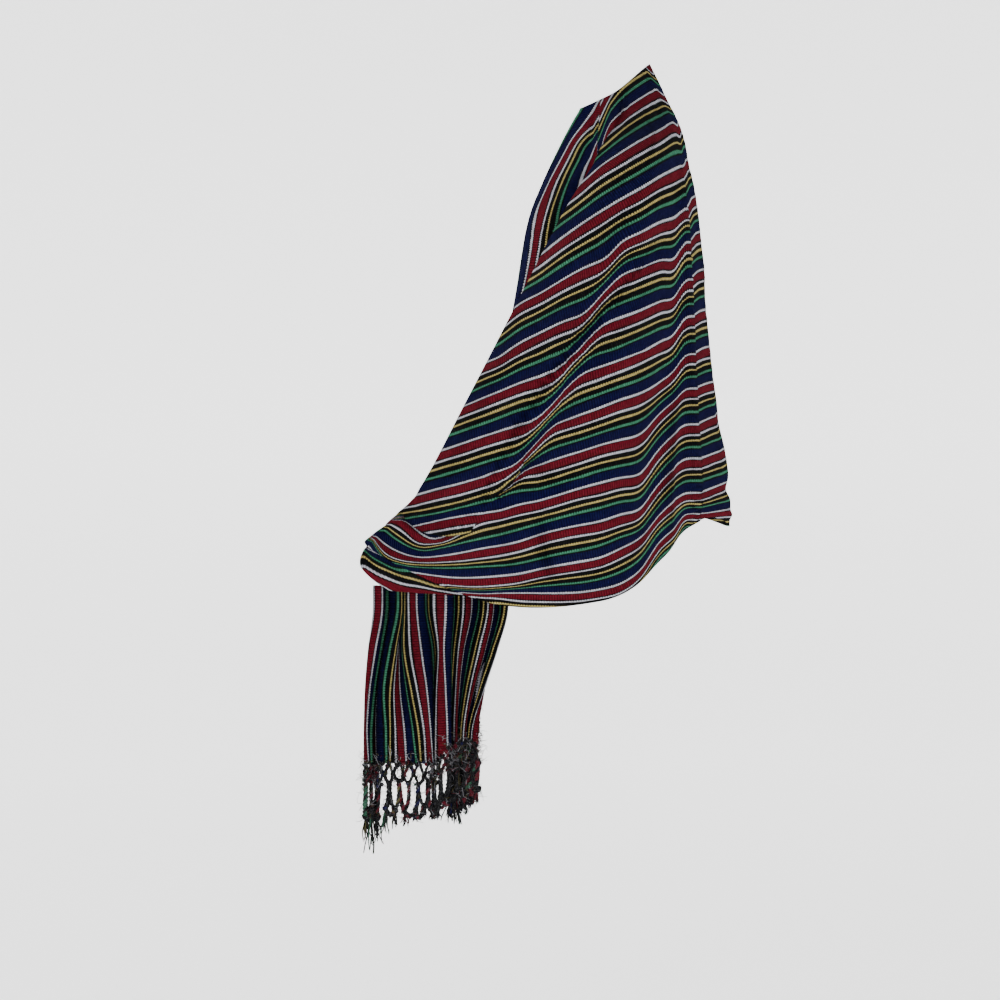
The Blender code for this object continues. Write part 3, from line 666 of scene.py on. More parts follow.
# %% Sockets that can be added up
class Wire:
    """A socket inside a material, with plain arithmetic."""

    def __init__(self, maker, socket):
        self.maker = maker
        self.socket = socket

    def math(self, operation, *others):
        return self.maker.node("ShaderNodeMath", {"operation": operation}, dict(enumerate((self,) + others)))

    def __add__(self, other):
        return self.math("ADD", other)

    def __radd__(self, other):
        return self.math("ADD", other)

    def __sub__(self, other):
        return self.math("SUBTRACT", other)

    def __rsub__(self, other):
        return self.maker.node("ShaderNodeMath", {"operation": "SUBTRACT"}, {0: other, 1: self})

    def __mul__(self, other):
        return self.math("MULTIPLY", other)

    def __rmul__(self, other):
        return self.math("MULTIPLY", other)

    def __truediv__(self, other):
        return self.math("DIVIDE", other)

    def fraction(self):
        return self.math("FRACT")

    def floor(self):
        return self.math("FLOOR")

    def zigzag(self):
        """Rises from 0 to 1 and falls back as the number grows by one."""
        return 1 - (self.fraction() - 0.5).math("ABSOLUTE") * 2


class Finish:
    """A material whose nodes are added one call at a time."""

    def __init__(self, name):
        self.material = bpy.data.materials.new(name)
        self.material.use_nodes = True
        self.nodes = self.material.node_tree.nodes
        self.links = self.material.node_tree.links
        self.shader = self.nodes["Principled BSDF"]

    def node(self, kind, settings=None, inputs=None, out=0):
        """Any node: its settings first, then the values or links of its sockets."""
        made = self.nodes.new(kind)
        for name, value in (settings or {}).items():
            if name == "stops":
                while len(made.color_ramp.elements) < len(value):
                    made.color_ramp.elements.new(1.0)
                for stop, (place, colour) in zip(made.color_ramp.elements, value):
                    stop.position = place
                    stop.color = tuple(colour) + (1.0,)
            elif name == "interpolation":
                made.color_ramp.interpolation = value
            else:
                setattr(made, name, value)
        for name, value in (inputs or {}).items():
            self.put(made.inputs[name], value)
        return Wire(self, made.outputs[out])

    def put(self, socket, value):
        if isinstance(value, Wire):
            self.links.new(value.socket, socket)
        else:
            socket.default_value = value

    def blend(self, share, first, second, way="MIX"):
        """Two colours mixed by a share from 0 to 1."""
        return self.node("ShaderNodeMix", {"data_type": "RGBA", "blend_type": way},
                         {0: share, 6: first, 7: second}, out=2)

    def set(self, **values):
        """Sockets of the surface itself, with spaces written as underscores."""
        for name, value in values.items():
            self.put(self.shader.inputs[name.replace("_", " ")], value)


print("wires:", [name for name in vars(Wire) if name.startswith("__r")])

# %% [markdown]
# ## The striped cloth
# The cloth is warp-faced: the coloured warp covers the weft, so all one sees are lengthwise
# stripes with a rib wherever a weft pick passes under them. Each pick also pushes the edge of a
# stripe a little sideways, which gives the toothed edges of hand weaving.
# The order of the stripes is a ramp over one repeat. The ribs, the single yarns and the small
# unevenness of hand-spun cotton are sums of the two numbers that the cloth carries.

# %% Stripe order
BLACK = (0.0022, 0.0025, 0.0028)
NAVY = (0.0026, 0.0030, 0.0280)
WHITE = (0.44, 0.44, 0.49)
CRIMSON = (0.092, 0.0045, 0.0105)
GOLD = (0.36, 0.29, 0.10)
MINT = (0.040, 0.165, 0.095)
ORDER = (
    (0.000, BLACK), (0.046, MINT), (0.108, BLACK), (0.150, NAVY), (0.362, BLACK), (0.387, WHITE),
    (0.441, BLACK), (0.468, CRIMSON), (0.652, BLACK), (0.690, WHITE), (0.742, BLACK), (0.863, GOLD),
    (0.911, BLACK),
)
PICK = 0.0029
YARN = 0.0011
SLUB = 0.45


def striped_cloth():
    """Warp-faced cotton with toothed stripes, weft ribs and single yarns."""
    finish = Finish("striped_cotton")
    cloth = finish.node("ShaderNodeUVMap", {"uv_map": "cloth"})
    length = finish.node("ShaderNodeSeparateXYZ", None, {0: cloth})
    under = finish.node("ShaderNodeSeparateXYZ", None, {0: cloth}, out=1)
    flap = finish.node("ShaderNodeUVMap", {"uv_map": "flap"})
    over = finish.node("ShaderNodeSeparateXYZ", None, {0: flap}, out=1)
    above = finish.node("ShaderNodeAttribute", {"attribute_name": "above_flap"}, out=2)
    crease = finish.node("ShaderNodeAttribute", {"attribute_name": "crease"}, out=2)
    on_flap = above.math("GREATER_THAN", 0.0)
    number = under + (over - under) * on_flap
    pick = length / PICK
    wander = finish.node("ShaderNodeTexNoise", {"noise_dimensions": "2D"},
                         {"Vector": cloth, "Scale": 9.0, "Detail": 2.0, "Roughness": 0.5})
    tooth = pick.zigzag()
    shifted = number + (tooth - 0.5) * 0.024 + (wander - 0.5) * 0.05
    order = finish.node("ShaderNodeValToRGB", {"interpolation": "CONSTANT", "stops": ORDER},
                        {0: shifted.fraction()})
    yarn = shifted * (REPEAT / YARN)
    stretched = finish.node("ShaderNodeCombineXYZ", None, {0: length * 55.0, 1: yarn.floor()})
    slub = finish.node("ShaderNodeTexNoise", {"noise_dimensions": "2D"},
                       {"Vector": stretched, "Scale": 1.0, "Detail": 3.0, "Roughness": 0.65})
    picks_seen = (tooth * 1.7).math("MINIMUM", 1.0)
    across_pick = pick.floor() * 7.31 + yarn.floor() * 3.77
    fleck = finish.node("ShaderNodeTexWhiteNoise", {"noise_dimensions": "1D"}, {"W": across_pick})
    # The crease attribute is painted shade: it darkens the colour in the creases of the drape, along the
    # flap's edge and in the pleats of the hanging ends.
    shade = (0.26 + picks_seen * 0.74) * (0.72 + slub * SLUB) * (0.72 + fleck * 0.40) * (1 - crease * 0.72)
    tint = finish.node("ShaderNodeCombineColor", None, {0: shade, 1: shade, 2: shade})
    worn = finish.node("ShaderNodeTexNoise", {"noise_dimensions": "2D"},
                       {"Vector": cloth, "Scale": 3.2, "Detail": 4.0, "Roughness": 0.6})
    soft = finish.blend(worn * 0.02, order, (0.20, 0.19, 0.20, 1.0))
    colour = finish.blend(1.0, soft, tint, "MULTIPLY")
    ridge = 1 - (1 - tooth) * (1 - tooth)
    strand = yarn.zigzag()
    relief = ridge * 0.75 + strand * 0.22 + slub * 0.22
    bump = finish.node("ShaderNodeBump", None, {"Strength": 0.75, "Distance": 0.0009, "Height": relief})
    finish.set(Base_Color=colour, Roughness=0.96 - slub * 0.08, Normal=bump)
    finish.set(Sheen_Weight=0.008, Sheen_Roughness=0.5, Specular_IOR_Level=0.0)
    return finish.material


cloth_finish = striped_cloth()
print("nodes in the cloth:", len(cloth_finish.node_tree.nodes))

# %% [markdown]
# ## Making cloth from a grid
# A grid becomes a thin closed wall with a right and a wrong side, because a single sheet has no
# thickness at its hems. A Solidify modifier does the same, but here the two numbers of the weave
# have to be set on every corner. Where a crease swallows whole repeats, a face takes the numbers
# of one side, so that no stripe is squeezed into it.

# %% Cloth walls
THICKNESS = 0.0015


def new_piece(name, points, faces, material):
    """A mesh object that rides on the shawl."""
    data = bpy.data.meshes.new(name)
    data.from_pydata([tuple(p) for p in points], [], [tuple(f) for f in faces])
    data.materials.append(material)
    data.shade_smooth()
    piece = bpy.data.objects.new(name, data)
    bpy.context.scene.collection.objects.link(piece)
    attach(piece, "root")
    return piece


def grid_faces(rows, columns):
    """The faces of a double-sided grid, with its four narrow edges."""
    at = np.arange(rows * columns).reshape(rows, columns)
    half = rows * columns
    front = np.stack([at[:-1, :-1], at[1:, :-1], at[1:, 1:], at[:-1, 1:]], axis=-1).reshape(-1, 4)
    faces = [front, front[:, ::-1] + half]
    for line, turn in ((at[:, 0], 1), (at[:, -1], -1), (at[0], -1), (at[-1], 1)):
        edge = np.stack([line[:-1], line[:-1] + half, line[1:] + half, line[1:]], axis=-1)
        faces.append(edge[:, ::turn])
    return np.concatenate(faces)


def number_corners(piece, faces, layer_name, numbers, lengths):
    """The two numbers of the weave on every corner. Whole repeats lost inside a face are left out."""
    corner = faces.ravel()
    number = np.tile(numbers.ravel(), 2)[corner].reshape(-1, 4)
    lost = np.round(number - number[:, :1])
    number -= np.where(np.abs(lost) > 1.5, lost, 0)
    length = np.tile(lengths.ravel(), 2)[corner]
    layer = piece.data.uv_layers.new(name=layer_name)
    layer.data.foreach_set("uv", np.stack([length, number.ravel()], axis=1).ravel().astype(np.float32))


def cloth_wall(name, grid, numbers, lengths, out=None, thickness=THICKNESS):
    """A closed piece of striped cloth on a grid, and its faces."""
    rows, columns = grid.shape[:2]
    if out is None:
        out = normals(grid)
    points = np.stack([grid + out * thickness / 2, grid - out * thickness / 2]).reshape(-1, 3)
    faces = grid_faces(rows, columns)
    piece = new_piece(name, points, faces, cloth_finish)
    number_corners(piece, faces, "cloth", numbers, lengths)
    return piece, faces


def mark(piece, name, values):
    """A value on every point of a wall, the same on its right and wrong side."""
    layer = piece.data.attributes.new(name, "FLOAT", "POINT")
    layer.data.foreach_set("value", np.tile(values.ravel(), 2).astype(np.float32))


drape_piece, drape_faces = cloth_wall("draped_cloth", drape_grid, drape_numbers, drape_length)
number_corners(drape_piece, drape_faces, "flap", flap_numbers, drape_length)
mark(drape_piece, "above_flap", flap_height)
mark(drape_piece, "crease", crease_shade)
drape_nodes = ("back_panel", "left_arm_drape", "right_arm_drape", "left_front_fall", "right_front_fall")
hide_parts(*drape_nodes)
print("drape faces:", len(drape_piece.data.polygons))

# %% [markdown]
# ## The wrist wraps
# Below each forearm the cloth turns back over the wrist. All that shows is a narrow arch of it
# under the hem, with its stripes running along the arm. It is a small grid of its own, set
# against the inside of the drape where its solid is.

# %% Wraps
WRAP_SECTIONS = (
    ("rim",
     (0.262, -0.312, -0.609), (0.262, -0.3405, -0.582), (0.236, -0.334, -0.559),
     (0.203, -0.336, -0.576), (0.200, -0.310, -0.603)),
    ("wrist",
     (0.264, -0.280, -0.612), (0.264, -0.290, -0.588), (0.236, -0.292, -0.564),
     (0.200, -0.290, -0.582), (0.196, -0.280, -0.606)),
    ("under the hem",
     (0.264, -0.190, -0.617), (0.264, -0.190, -0.592), (0.236, -0.190, -0.572),
     (0.198, -0.190, -0.588), (0.194, -0.190, -0.610)),
)
WRAP_ROWS = 44
WRAP_COLUMNS = 44
WRAP_PLACES = (-208, -234, -260, -286, -312, -338, -358)
WRAP_STRIPES = (
    (1.80, -598, -586, -578, -570, -563, -556, -545),
    (1.72, -604, -594, -586, -578, -571, -564, -552.5),
    (1.57, -609, -601, -593, -586, -579, -572, -563),
    (1.42, -612, -607, -600, -592, -586, -580, -569.5),
    (1.20, -615, -609, -602, -595, -592, -585, -571),
    (1.08, -618, -613, -606, -600, -599, -589, -574),
    (0.89, -622, -620, -620, -612, -605, -595, -582),
    (0.72, -629, -629, -624, -618.8, -613.6, -603.9, -594),
    (0.57, -634, -633, -630, -626.6, -622, -612.3, -600),
    (0.42, -638, -637.6, -637, -634.4, -629.8, -616.2, -606),
    (0.20, -645, -645, -644, -642, -638, -626, -615),
)


def wrist_wrap(side, hand):
    """The arch of cloth over one wrist."""
    sections = np.array([row[1:] for row in WRAP_SECTIONS])
    knots = np.arange(len(sections), dtype=float)
    rows_at = np.linspace(0, knots[-1], WRAP_ROWS + 1)
    arch = np.stack([smooth(sections[:, k], knots, rows_at) for k in range(sections.shape[1])], axis=1)
    across = np.linspace(0, 1, sections.shape[1])
    grid = np.stack([smooth(row, across, np.linspace(0, 1, WRAP_COLUMNS + 1)) for row in arch])
    low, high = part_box(side + "_wrist_wrap")
    outer = high[0] if hand > 0 else -low[0]
    grid[..., 0] += outer - THICKNESS / 2 - grid[..., 0].max()
    grid[..., 0] *= hand
    numbers = side_numbers(grid, WRAP_STRIPES, WRAP_PLACES)
    lengths = arc_from(grid.transpose(1, 0, 2), 0).T
    out = normals(grid) * -hand
    ripple = 0.0009 * np.sin(lengths * 210.0 + numbers * 5.0)
    grid = grid - out * (0.0009 - ripple)[..., None]
    piece, _ = cloth_wall(side + "_wrist_band", grid, numbers, lengths, out)
    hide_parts(side + "_wrist_wrap")
    return piece


SIDES = (("left", 1.0), ("right", -1.0))
for side, hand in SIDES:
    print(side, "wrap faces:", len(wrist_wrap(side, hand).data.polygons))

# %% [markdown]
# ## The hanging ends
# The cloth leaves the wrist gathered into pleats and hangs to its fringe. On the outer side wide
# folds fan open and narrow again where the stripes dive behind the next fold, in the shape of
# upturned Vs. The table follows single stripes down the cloth: where each one lies forward at the
# last five of six heights, in millimetres, and how far behind the outer face it sinks at the top and
# at the end. Behind that face the rest of the width is laid in narrow zigzags. Painting pleats on a
# flat piece would be quicker, but only real folds part and close as one walks round them.

# %% Pleats of a hanging end
END_HEIGHTS = (-0.604, -0.632, -0.677, -0.723, -0.768, -0.812)
END_STRIPES = (
    (14.10, -322, -326, -330, -333, -334, 7, 6),
    (13.80, -326, -331, -334, -336, -336, 1, 1),
    (13.66, -324, -331, -335, -336, -336, 0, 0),
    (13.47, -317, -325, -332, -335, -332, 0, 0),
    (13.36, -315, -322, -329, -332, -330, 1, 1),
    (13.13, -313, -319, -326, -330, -329, 3, 2),
    (13.03, -309, -316, -323, -327, -327, 4, 3),
    (12.90, -308, -315, -322, -327, -328, 10, 9),
    (12.62, -313, -319, -324, -326, -325, 14, 12),
    (12.30, -308, -314, -320, -321, -320, 4, 3),
    (12.08, -298, -307, -314, -312, -311, 0, 0),
    (11.89, -294, -301, -307, -307, -307, 1, 0),
    (11.72, -293, -299, -303, -301, -300, 5, 0),
    (11.57, -295, -298, -299, -296, -293, 10, 0),
    (11.42, -297, -297, -296, -291, -288, 13, 0),
    (11.25, -295, -295, -292, -286, -282, 11, 0),
    (11.08, -292, -293, -288, -281, -276, 5, 0),
    (10.89, -290, -291, -283, -275, -272, 1, 1),
    (10.72, -286, -284, -276, -269, -266, 0, 0),
    (10.57, -281, -277, -271, -265, -261, 0, 0),
    (10.42, -277, -272, -265, -261, -258, 0, 2),
    (10.25, -271, -265, -260, -258, -258, 0, 6),
    (10.08, -266, -259, -258, -259, -260, 1, 10),
    (9.89, -263, -256, -258, -260, -260, 2, 10),
    (9.72, -257, -252, -254, -255, -255, 0, 4),
    (9.57, -249, -249, -250, -249, -248, 0, 0),
    (9.42, -244, -246, -244, -242, -241, 0, 0),
    (9.25, -238, -240, -240, -238, -238, 0, 2),
    (9.08, -234, -237, -237, -238, -239, 2, 8),
    (8.89, -229, -234, -237, -239, -240, 1, 10),
    (8.72, -224, -229, -232, -234, -234, 0, 6),
    (8.57, -218, -226, -230, -231, -230, 0, 2),
    (8.25, -211, -220, -227, -231, -230, 2, 10),
    (8.08, -206, -216, -224, -229, -229, 4, 10),
    (7.89, -201, -210, -220, -226, -226, 1, 3),
    (7.72, -196, -206, -216, -223, -223, 0, 1),
    (7.57, -192, -201, -213, -221, -221, 0, 2),
    (7.25, -187, -197, -210, -221, -220, 2, 9),
    (7.08, -182, -193, -207, -218, -217, 3, 7),
    (6.89, -177, -190, -205, -217, -216, 0, 1),
    (6.78, -174, -187, -202, -215, -214, 0, 0),
    (6.69, -173, -185, -200, -213, -212, 0, 0),
    (6.62, -176, -187, -200, -211, -209, 3, 0),
    (6.50, -182, -192, -203, -208, -206, 9, 4),
)
INNER_ZIGZAGS = 9
INNER_TOP = (-0.186, -0.224)
INNER_END = (-0.213, -0.238)
INNER_DEPTHS = (0.013, 0.040)
INNER_FALL = (0, 0.25, 0.5, 0.8, 1)
END_ROWS = 46
END_STEP = 0.035
END_FRONT = -0.806
END_BACK = -0.781
END_THICKNESS = 0.0011
END_CLOSER = {"left": 1.0, "right": 0.95}
END_WAVES = ((0.0012, 1.7, 4.0), (0.0010, 0.6, -7.0))
SHADED_TURN = (12.13, 13.42)


def end_table():
    """Every followed stripe of the end, the hidden ones too: number, forward five times, depths."""
    rows = [list(row) for row in END_STRIPES]
    first = rows[-1][0]
    for k in range(INNER_ZIGZAGS + 1):
        share = (k + 1) / (INNER_ZIGZAGS + 1)
        turn = k % 2 == 0
        top = INNER_TOP[turn] * 1000
        end = INNER_END[turn] * 1000
        deep = (INNER_DEPTHS[0] + (INNER_DEPTHS[1] - INNER_DEPTHS[0]) * share) * 1000
        forward = [top + (end - top) * part for part in INNER_FALL]
        rows.append([first * (1 - share)] + forward + [deep, deep])
    return np.array(rows)


def end_bottom(forward):
    """The height of the cloth's end, higher where the back folds are drawn up by the knots."""
    share = np.clip((forward + 0.262) / 0.035, 0, 1)
    return END_FRONT + (END_BACK - END_FRONT) * share * share * (3 - 2 * share)


def hanging_end(side, hand):
    """One pleated end, as a piece and the points and numbers of its lower edge."""
    table = end_table()
    knots = np.arange(len(table), dtype=float)
    steps = np.maximum(2, np.round(np.abs(np.diff(table[:, 0])) / END_STEP)).astype(int)
    at = np.concatenate([np.linspace(k, k + 1, n + 1)[:-1] for k, n in enumerate(steps)] + [[knots[-1]]])
    table = smooth(table, knots, at)
    down = np.linspace(0, 1, END_ROWS + 1)
    forward = table[:, 1:6] / 1000
    forward = forward[0, 0] + (forward - forward[0, 0]) * END_CLOSER[side]
    forward = np.concatenate([forward[:, :1] * 1.02 - forward[:, 1:2] * 0.02, forward], axis=1)
    heights = np.array(END_HEIGHTS)
    bottom = end_bottom(forward[:, -1])
    z = END_HEIGHTS[0] + (bottom[None, :] - END_HEIGHTS[0]) * down[:, None]
    y = np.zeros_like(z)
    for k in range(len(at)):
        y[:, k] = smooth(forward[k][::-1, None], heights[::-1], z[:, k][::-1])[::-1, 0]
    low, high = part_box(side + "_hanging_end")
    outer = (high[0] if hand > 0 else -low[0]) - 0.0012
    fade = down[:, None] ** 0.8
    depth = (table[:, 6] * (1 - fade) + table[:, 7] * fade) / 1000
    (size, across, along), (slow_size, slow_across, slow_along) = END_WAVES
    wave = size * np.sin(at * across + down[:, None] * along + hand)
    wave = wave + slow_size * np.sin(at * slow_across + down[:, None] * slow_along)
    x = (outer - depth - size + wave) * hand
    grid = np.stack([x, y, z], axis=-1)
    out = normals(grid) * hand
    numbers = np.tile(table[:, 0], (END_ROWS + 1, 1))
    lengths = arc_from(grid.transpose(1, 0, 2), 0).T
    piece, _ = cloth_wall(side + "_pleats", grid, numbers, lengths, out, END_THICKNESS)
    # Painted shade on the pleats: the whole end is darkened, cloth set deeper behind the outer face more, and
    # so are stripes that turn back and the turn from 12.13 to 13.42; all of it is strongest near the top.
    turned = np.gradient(forward[:, 3]) < 0.0004
    front_turn = (table[:, 0] > SHADED_TURN[0]) & (table[:, 0] < SHADED_TURN[1])
    shade = np.clip((depth - 0.0005) / 0.006, 0, 0.75) + 0.42 + 0.22 * turned + 0.26 * front_turn
    mark(piece, "crease", np.clip(shade, 0, 1) * (0.75 + 0.25 * (1 - down[:, None])))
    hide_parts(side + "_hanging_end")
    return piece, grid[-1], table[:, 0]


ends = {side: hanging_end(side, hand) for side, hand in SIDES}
for side, (piece, edge, _) in ends.items():
    width = np.linalg.norm(np.diff(edge, axis=0), axis=1).sum()
    print(side, "end faces:", len(piece.data.polygons), "width along its pleats:", round(float(width), 3))

# %% [markdown]
# ## The net fringe
# At each end the warp yarns are gathered in small bundles, and neighbouring bundles are knotted
# together row by row into a net with loose tails. Each bundle here is three twisted yarns, mostly
# black with some of the stripe's own colour, and each knot a few small round wraps. Particle hair
# could give the tails, but the net has to pass through its knots, so every cord is laid from knot to
# knot. The cords of the last row are thicker and sag between their knots.

# %% Yarn finish
YARN_COLOURS = {
    "black": (0.0020, 0.0020, 0.0026),
    "white": (0.26, 0.26, 0.28),
    "crimson": (0.070, 0.004, 0.010),
    "navy": (0.004, 0.004, 0.035),
    "green": (0.018, 0.070, 0.040),
    "olive": (0.08, 0.07, 0.025),
}


def yarn_finish():
    """Matte twisted cotton, coloured by the yarn that each strand is."""
    finish = Finish("fringe_yarn")
    strand = finish.node("ShaderNodeVertexColor", {"layer_name": "yarn"})
    uv = finish.node("ShaderNodeUVMap", {"uv_map": "cloth"})
    parts = finish.node("ShaderNodeSeparateXYZ", None, {0: uv})
    around = Wire(finish, parts.socket.node.outputs[1])
    twist = (parts / 0.0016 + around).zigzag()
    fuzz = finish.node("ShaderNodeTexNoise", {"noise_dimensions": "3D"},
                       {"Scale": 900.0, "Detail": 3.0, "Roughness": 0.7})
    fleck = finish.node("ShaderNodeTexNoise", {"noise_dimensions": "3D"},
                        {"Scale": 260.0, "Detail": 1.0, "Roughness": 0.5})
    light = ((fleck - 0.60) * 9.0).math("MAXIMUM", 0.0).math("MINIMUM", 0.55)
    speckled = finish.blend(light, strand, (0.20, 0.20, 0.21, 1.0))
    shade = (0.55 + twist * 0.45) * (0.7 + fuzz * 0.6)
    tint = finish.node("ShaderNodeCombineColor", None, {0: shade, 1: shade, 2: shade})
    colour = finish.blend(1.0, speckled, tint, "MULTIPLY")
    bump = finish.node("ShaderNodeBump", None,
                       {"Strength": 0.8, "Distance": 0.0005, "Height": twist * 0.7 + fuzz * 0.5})
    finish.set(Base_Color=colour, Roughness=0.95, Normal=bump)
    finish.set(Sheen_Weight=0.01, Sheen_Roughness=0.6, Specular_IOR_Level=0.0)
    return finish.material


yarn_material = yarn_finish()
print("nodes in the yarn:", len(yarn_material.node_tree.nodes))

# %% [markdown]
# A strand is a thin tube along a few points. The strands of one fringe are collected in lists and
# turned into a single mesh at the end, because hundreds of separate objects would be slow.

# %% Strands and knots
class Yarns:
    """Tubes and knots that become one mesh, each with a colour."""

    def __init__(self):
        self.points = []
        self.faces = []
        self.colours = []
        self.lengths = []

    def tube(self, path, radius, colour, sides=4, taper=0.0):
        """A closed tube along a path, thinner towards its end by the taper."""
        path = np.asarray(path, float)
        step = np.gradient(path, axis=0)
        step /= np.linalg.norm(step, axis=1, keepdims=True)
        first = np.cross(step, (0.37, 0.91, 0.18))
        first /= np.linalg.norm(first, axis=1, keepdims=True)
        second = np.cross(step, first)
        start = len(self.points)
        run = np.concatenate([[0], np.cumsum(np.linalg.norm(np.diff(path, axis=0), axis=1))])
        for i, point in enumerate(path):
            size = radius * (1 - taper * i / (len(path) - 1))
            for k in range(sides):
                turn = math.tau * k / sides
                self.points.append(point + (first[i] * math.cos(turn) + second[i] * math.sin(turn)) * size)
                self.colours.append(colour)
                self.lengths.append((run[i], k / sides))
        for i in range(len(path) - 1):
            for k in range(sides):
                a = start + i * sides + k
                b = start + i * sides + (k + 1) % sides
                self.faces.append((a, b, b + sides, a + sides))
        self.faces.append(tuple(start + k for k in reversed(range(sides))))
        self.faces.append(tuple(start + (len(path) - 1) * sides + k for k in range(sides)))

    def knot(self, centre, size, colour, turn):
        """A small round wrap of yarn."""
        rings = 5
        sides = 7
        start = len(self.points)
        axis = np.array([math.cos(turn), math.sin(turn), 0.4])
        axis /= np.linalg.norm(axis)
        first = np.cross(axis, (0.2, 0.3, 0.9))
        first /= np.linalg.norm(first)
        second = np.cross(axis, first)
        for i in range(rings):
            tilt = math.pi * (i + 0.5) / rings
            for k in range(sides):
                bulge = 1 + 0.16 * math.sin(2.0 * k + turn * 3 + i)
                swing = math.tau * k / sides
                self.points.append(centre + size * (axis * math.cos(tilt) * 0.85 + math.sin(tilt) * bulge
                                                    * (first * math.cos(swing) + second * math.sin(swing))))
                self.colours.append(colour)
                self.lengths.append((i * 0.001, k / sides))
        for i in range(rings - 1):
            for k in range(sides):
                a = start + i * sides + k
                b = start + i * sides + (k + 1) % sides
                self.faces.append((a, a + sides, b + sides, b))
        self.faces.append(tuple(start + k for k in range(sides)))
        self.faces.append(tuple(start + (rings - 1) * sides + k for k in reversed(range(sides))))

    def piece(self, name):
        """All of it as one object."""
        made = new_piece(name, self.points, self.faces, yarn_material)
        colour = made.data.color_attributes.new("yarn", "FLOAT_COLOR", "POINT")
        flat = np.concatenate([np.array(self.colours), np.ones((len(self.colours), 1))], axis=1)
        colour.data.foreach_set("color", flat.ravel().astype(np.float32))
        layer = made.data.uv_layers.new(name="cloth")
        corner = np.concatenate([np.array(face) for face in self.faces])
        layer.data.foreach_set("uv", np.array(self.lengths)[corner].ravel().astype(np.float32))
        return made


print("yarn colours:", ", ".join(YARN_COLOURS))

# %% Sizes of the net
YARN_ORDER = (
    (0.135, "green"), (0.372, "navy"), (0.470, "white"), (0.655, "crimson"), (0.675, "black"),
    (0.768, "white"), (0.850, "black"), (0.930, "olive"), (1.0, "black"),
)
CELL = 0.0115
NET_START = -0.002
CALMER = 14.0
SEEDS = {"left": 7, "right": 11}
NET_ROWS = (0.011, 0.024, 0.056)
CORD_RADIUS = 0.00125
LEG_RADIUS = 0.00175
GARLAND_RADIUS = 0.0021
TWIST = 0.015
LUMPS = 4
STRANDS = 9
STRAND_RADIUS = 0.0013
FLUFF = 3600
FLUFF_RADIUS = 0.00033
HEADING_KNOTS = 3
HEADING_SIZE = 0.0024
TAIL_PLACES = (-0.336, -0.322, -0.300, -0.280, -0.262, -0.245, -0.236, -0.222, -0.205)
TAIL_LENGTHS = (0.056, 0.044, 0.018, 0.012, 0.014, 0.006, 0.038, 0.022, 0.014)


def stripe_yarn(number):
    """The colour of the yarns that leave the cloth at a stripe number."""
    return next(colour for end, colour in YARN_ORDER if number % 1.0 < end)


print("yarn at the upper selvedge:", stripe_yarn(0.05))


# %% Cords
def cord(yarns, a, b, names, chance, sag=0.0012, radius=CORD_RADIUS, late=1.0):
    """Yarns twisted round each other between two points. A late cord hangs before it turns aside."""
    span = np.linalg.norm(b - a)
    count = max(5, int(span / 0.0035))
    t = np.linspace(0, 1, count)[:, None]
    side = np.cross(b - a, (0.0, 0.0, 1.0))
    side = side / (np.linalg.norm(side) + 1e-9)
    lift = np.cross(b - a, side)
    lift = lift / (np.linalg.norm(lift) + 1e-9)
    bow = chance.uniform(-1, 1, 2) * 0.0012
    aside = np.concatenate([t ** late, t ** late, t], axis=1)
    line = a + (b - a) * aside + np.sin(math.pi * t) * (side * bow[0] + lift * bow[1] - np.array([0, 0, sag]))
    phase = chance.uniform(0, math.tau)
    for k, name in enumerate(names):
        turn = math.tau * (t * span / TWIST + k / len(names)) + phase
        offset = (np.cos(turn) * side + np.sin(turn) * lift) * radius * 0.85
        yarns.tube(line + offset, radius, YARN_COLOURS[name])


print("a cord of three yarns is about", round(CORD_RADIUS * 4000, 1), "mm thick")

# %% [markdown]
# Each row of knots hangs halfway between the knots above it, so the cords cross like a garden
# fence. Every knot, cord and tail gets a little chance, with a fixed seed for each end, because a net
# that is tied by hand is never even. A dark heading of small knots hides where the yarns leave the
# cloth, and short loose hairs stand out from all of it.


# %% Rows of knots
def hang_rows(place, cells, chance):
    """The knots of the net, row by row below the cloth's edge."""
    rows = [[place(k / cells, NET_START) for k in range(cells + 1)]]
    for row, drop in enumerate(NET_ROWS):
        offset = 0.5 if row % 2 == 0 else 0.0
        count = cells if row % 2 == 0 else cells + 1
        knots = []
        for k in range(count):
            jitter = chance.normal(0, 1, 3) * (0.0007, 0.0010, 0.0010 + 0.0012 * row)
            knots.append(place((k + offset) / cells, drop) + jitter)
        rows.append(knots)
    return rows


def tie_net(yarns, rows, names, chance):
    """Cords and knots from row to row, and the cords that sag under the last row."""
    for row in range(len(rows) - 1):
        upper = rows[row]
        lower = rows[row + 1]
        for k, knot in enumerate(lower):
            pairs = (k, k + 1) if row % 2 == 0 else (k - 1, k)
            share = k / len(lower)
            for j in pairs:
                if 0 <= j < len(upper) and not (row == 2 and j == k and k % 3 == 1):
                    thick, late = (LEG_RADIUS, 2.6) if row == 2 else (CORD_RADIUS, 1.0)
                    thick *= chance.uniform(0.8, 1.25)
                    cord(yarns, upper[j], knot, names(share, 3), chance, radius=thick, late=late)
            for lump in range(LUMPS):
                size = (0.0026 if row < 2 else 0.0034) * chance.uniform(0.7, 1.2)
                beside = knot + chance.normal(0, 0.0014, 3)
                yarns.knot(beside, size, YARN_COLOURS[names(share)[lump % 2]], chance.uniform(0, 6))
    for a, b in zip(rows[-1], rows[-1][1:]):
        if np.linalg.norm(b - a) < 2.2 * CELL and chance.random() < 0.8:
            cord(yarns, a, b, ["black", "black", "crimson"], chance, sag=chance.uniform(0.004, 0.012),
                 radius=GARLAND_RADIUS)


print("rows of knots:", len(NET_ROWS), "the last one", NET_ROWS[-1], "m below the cloth")


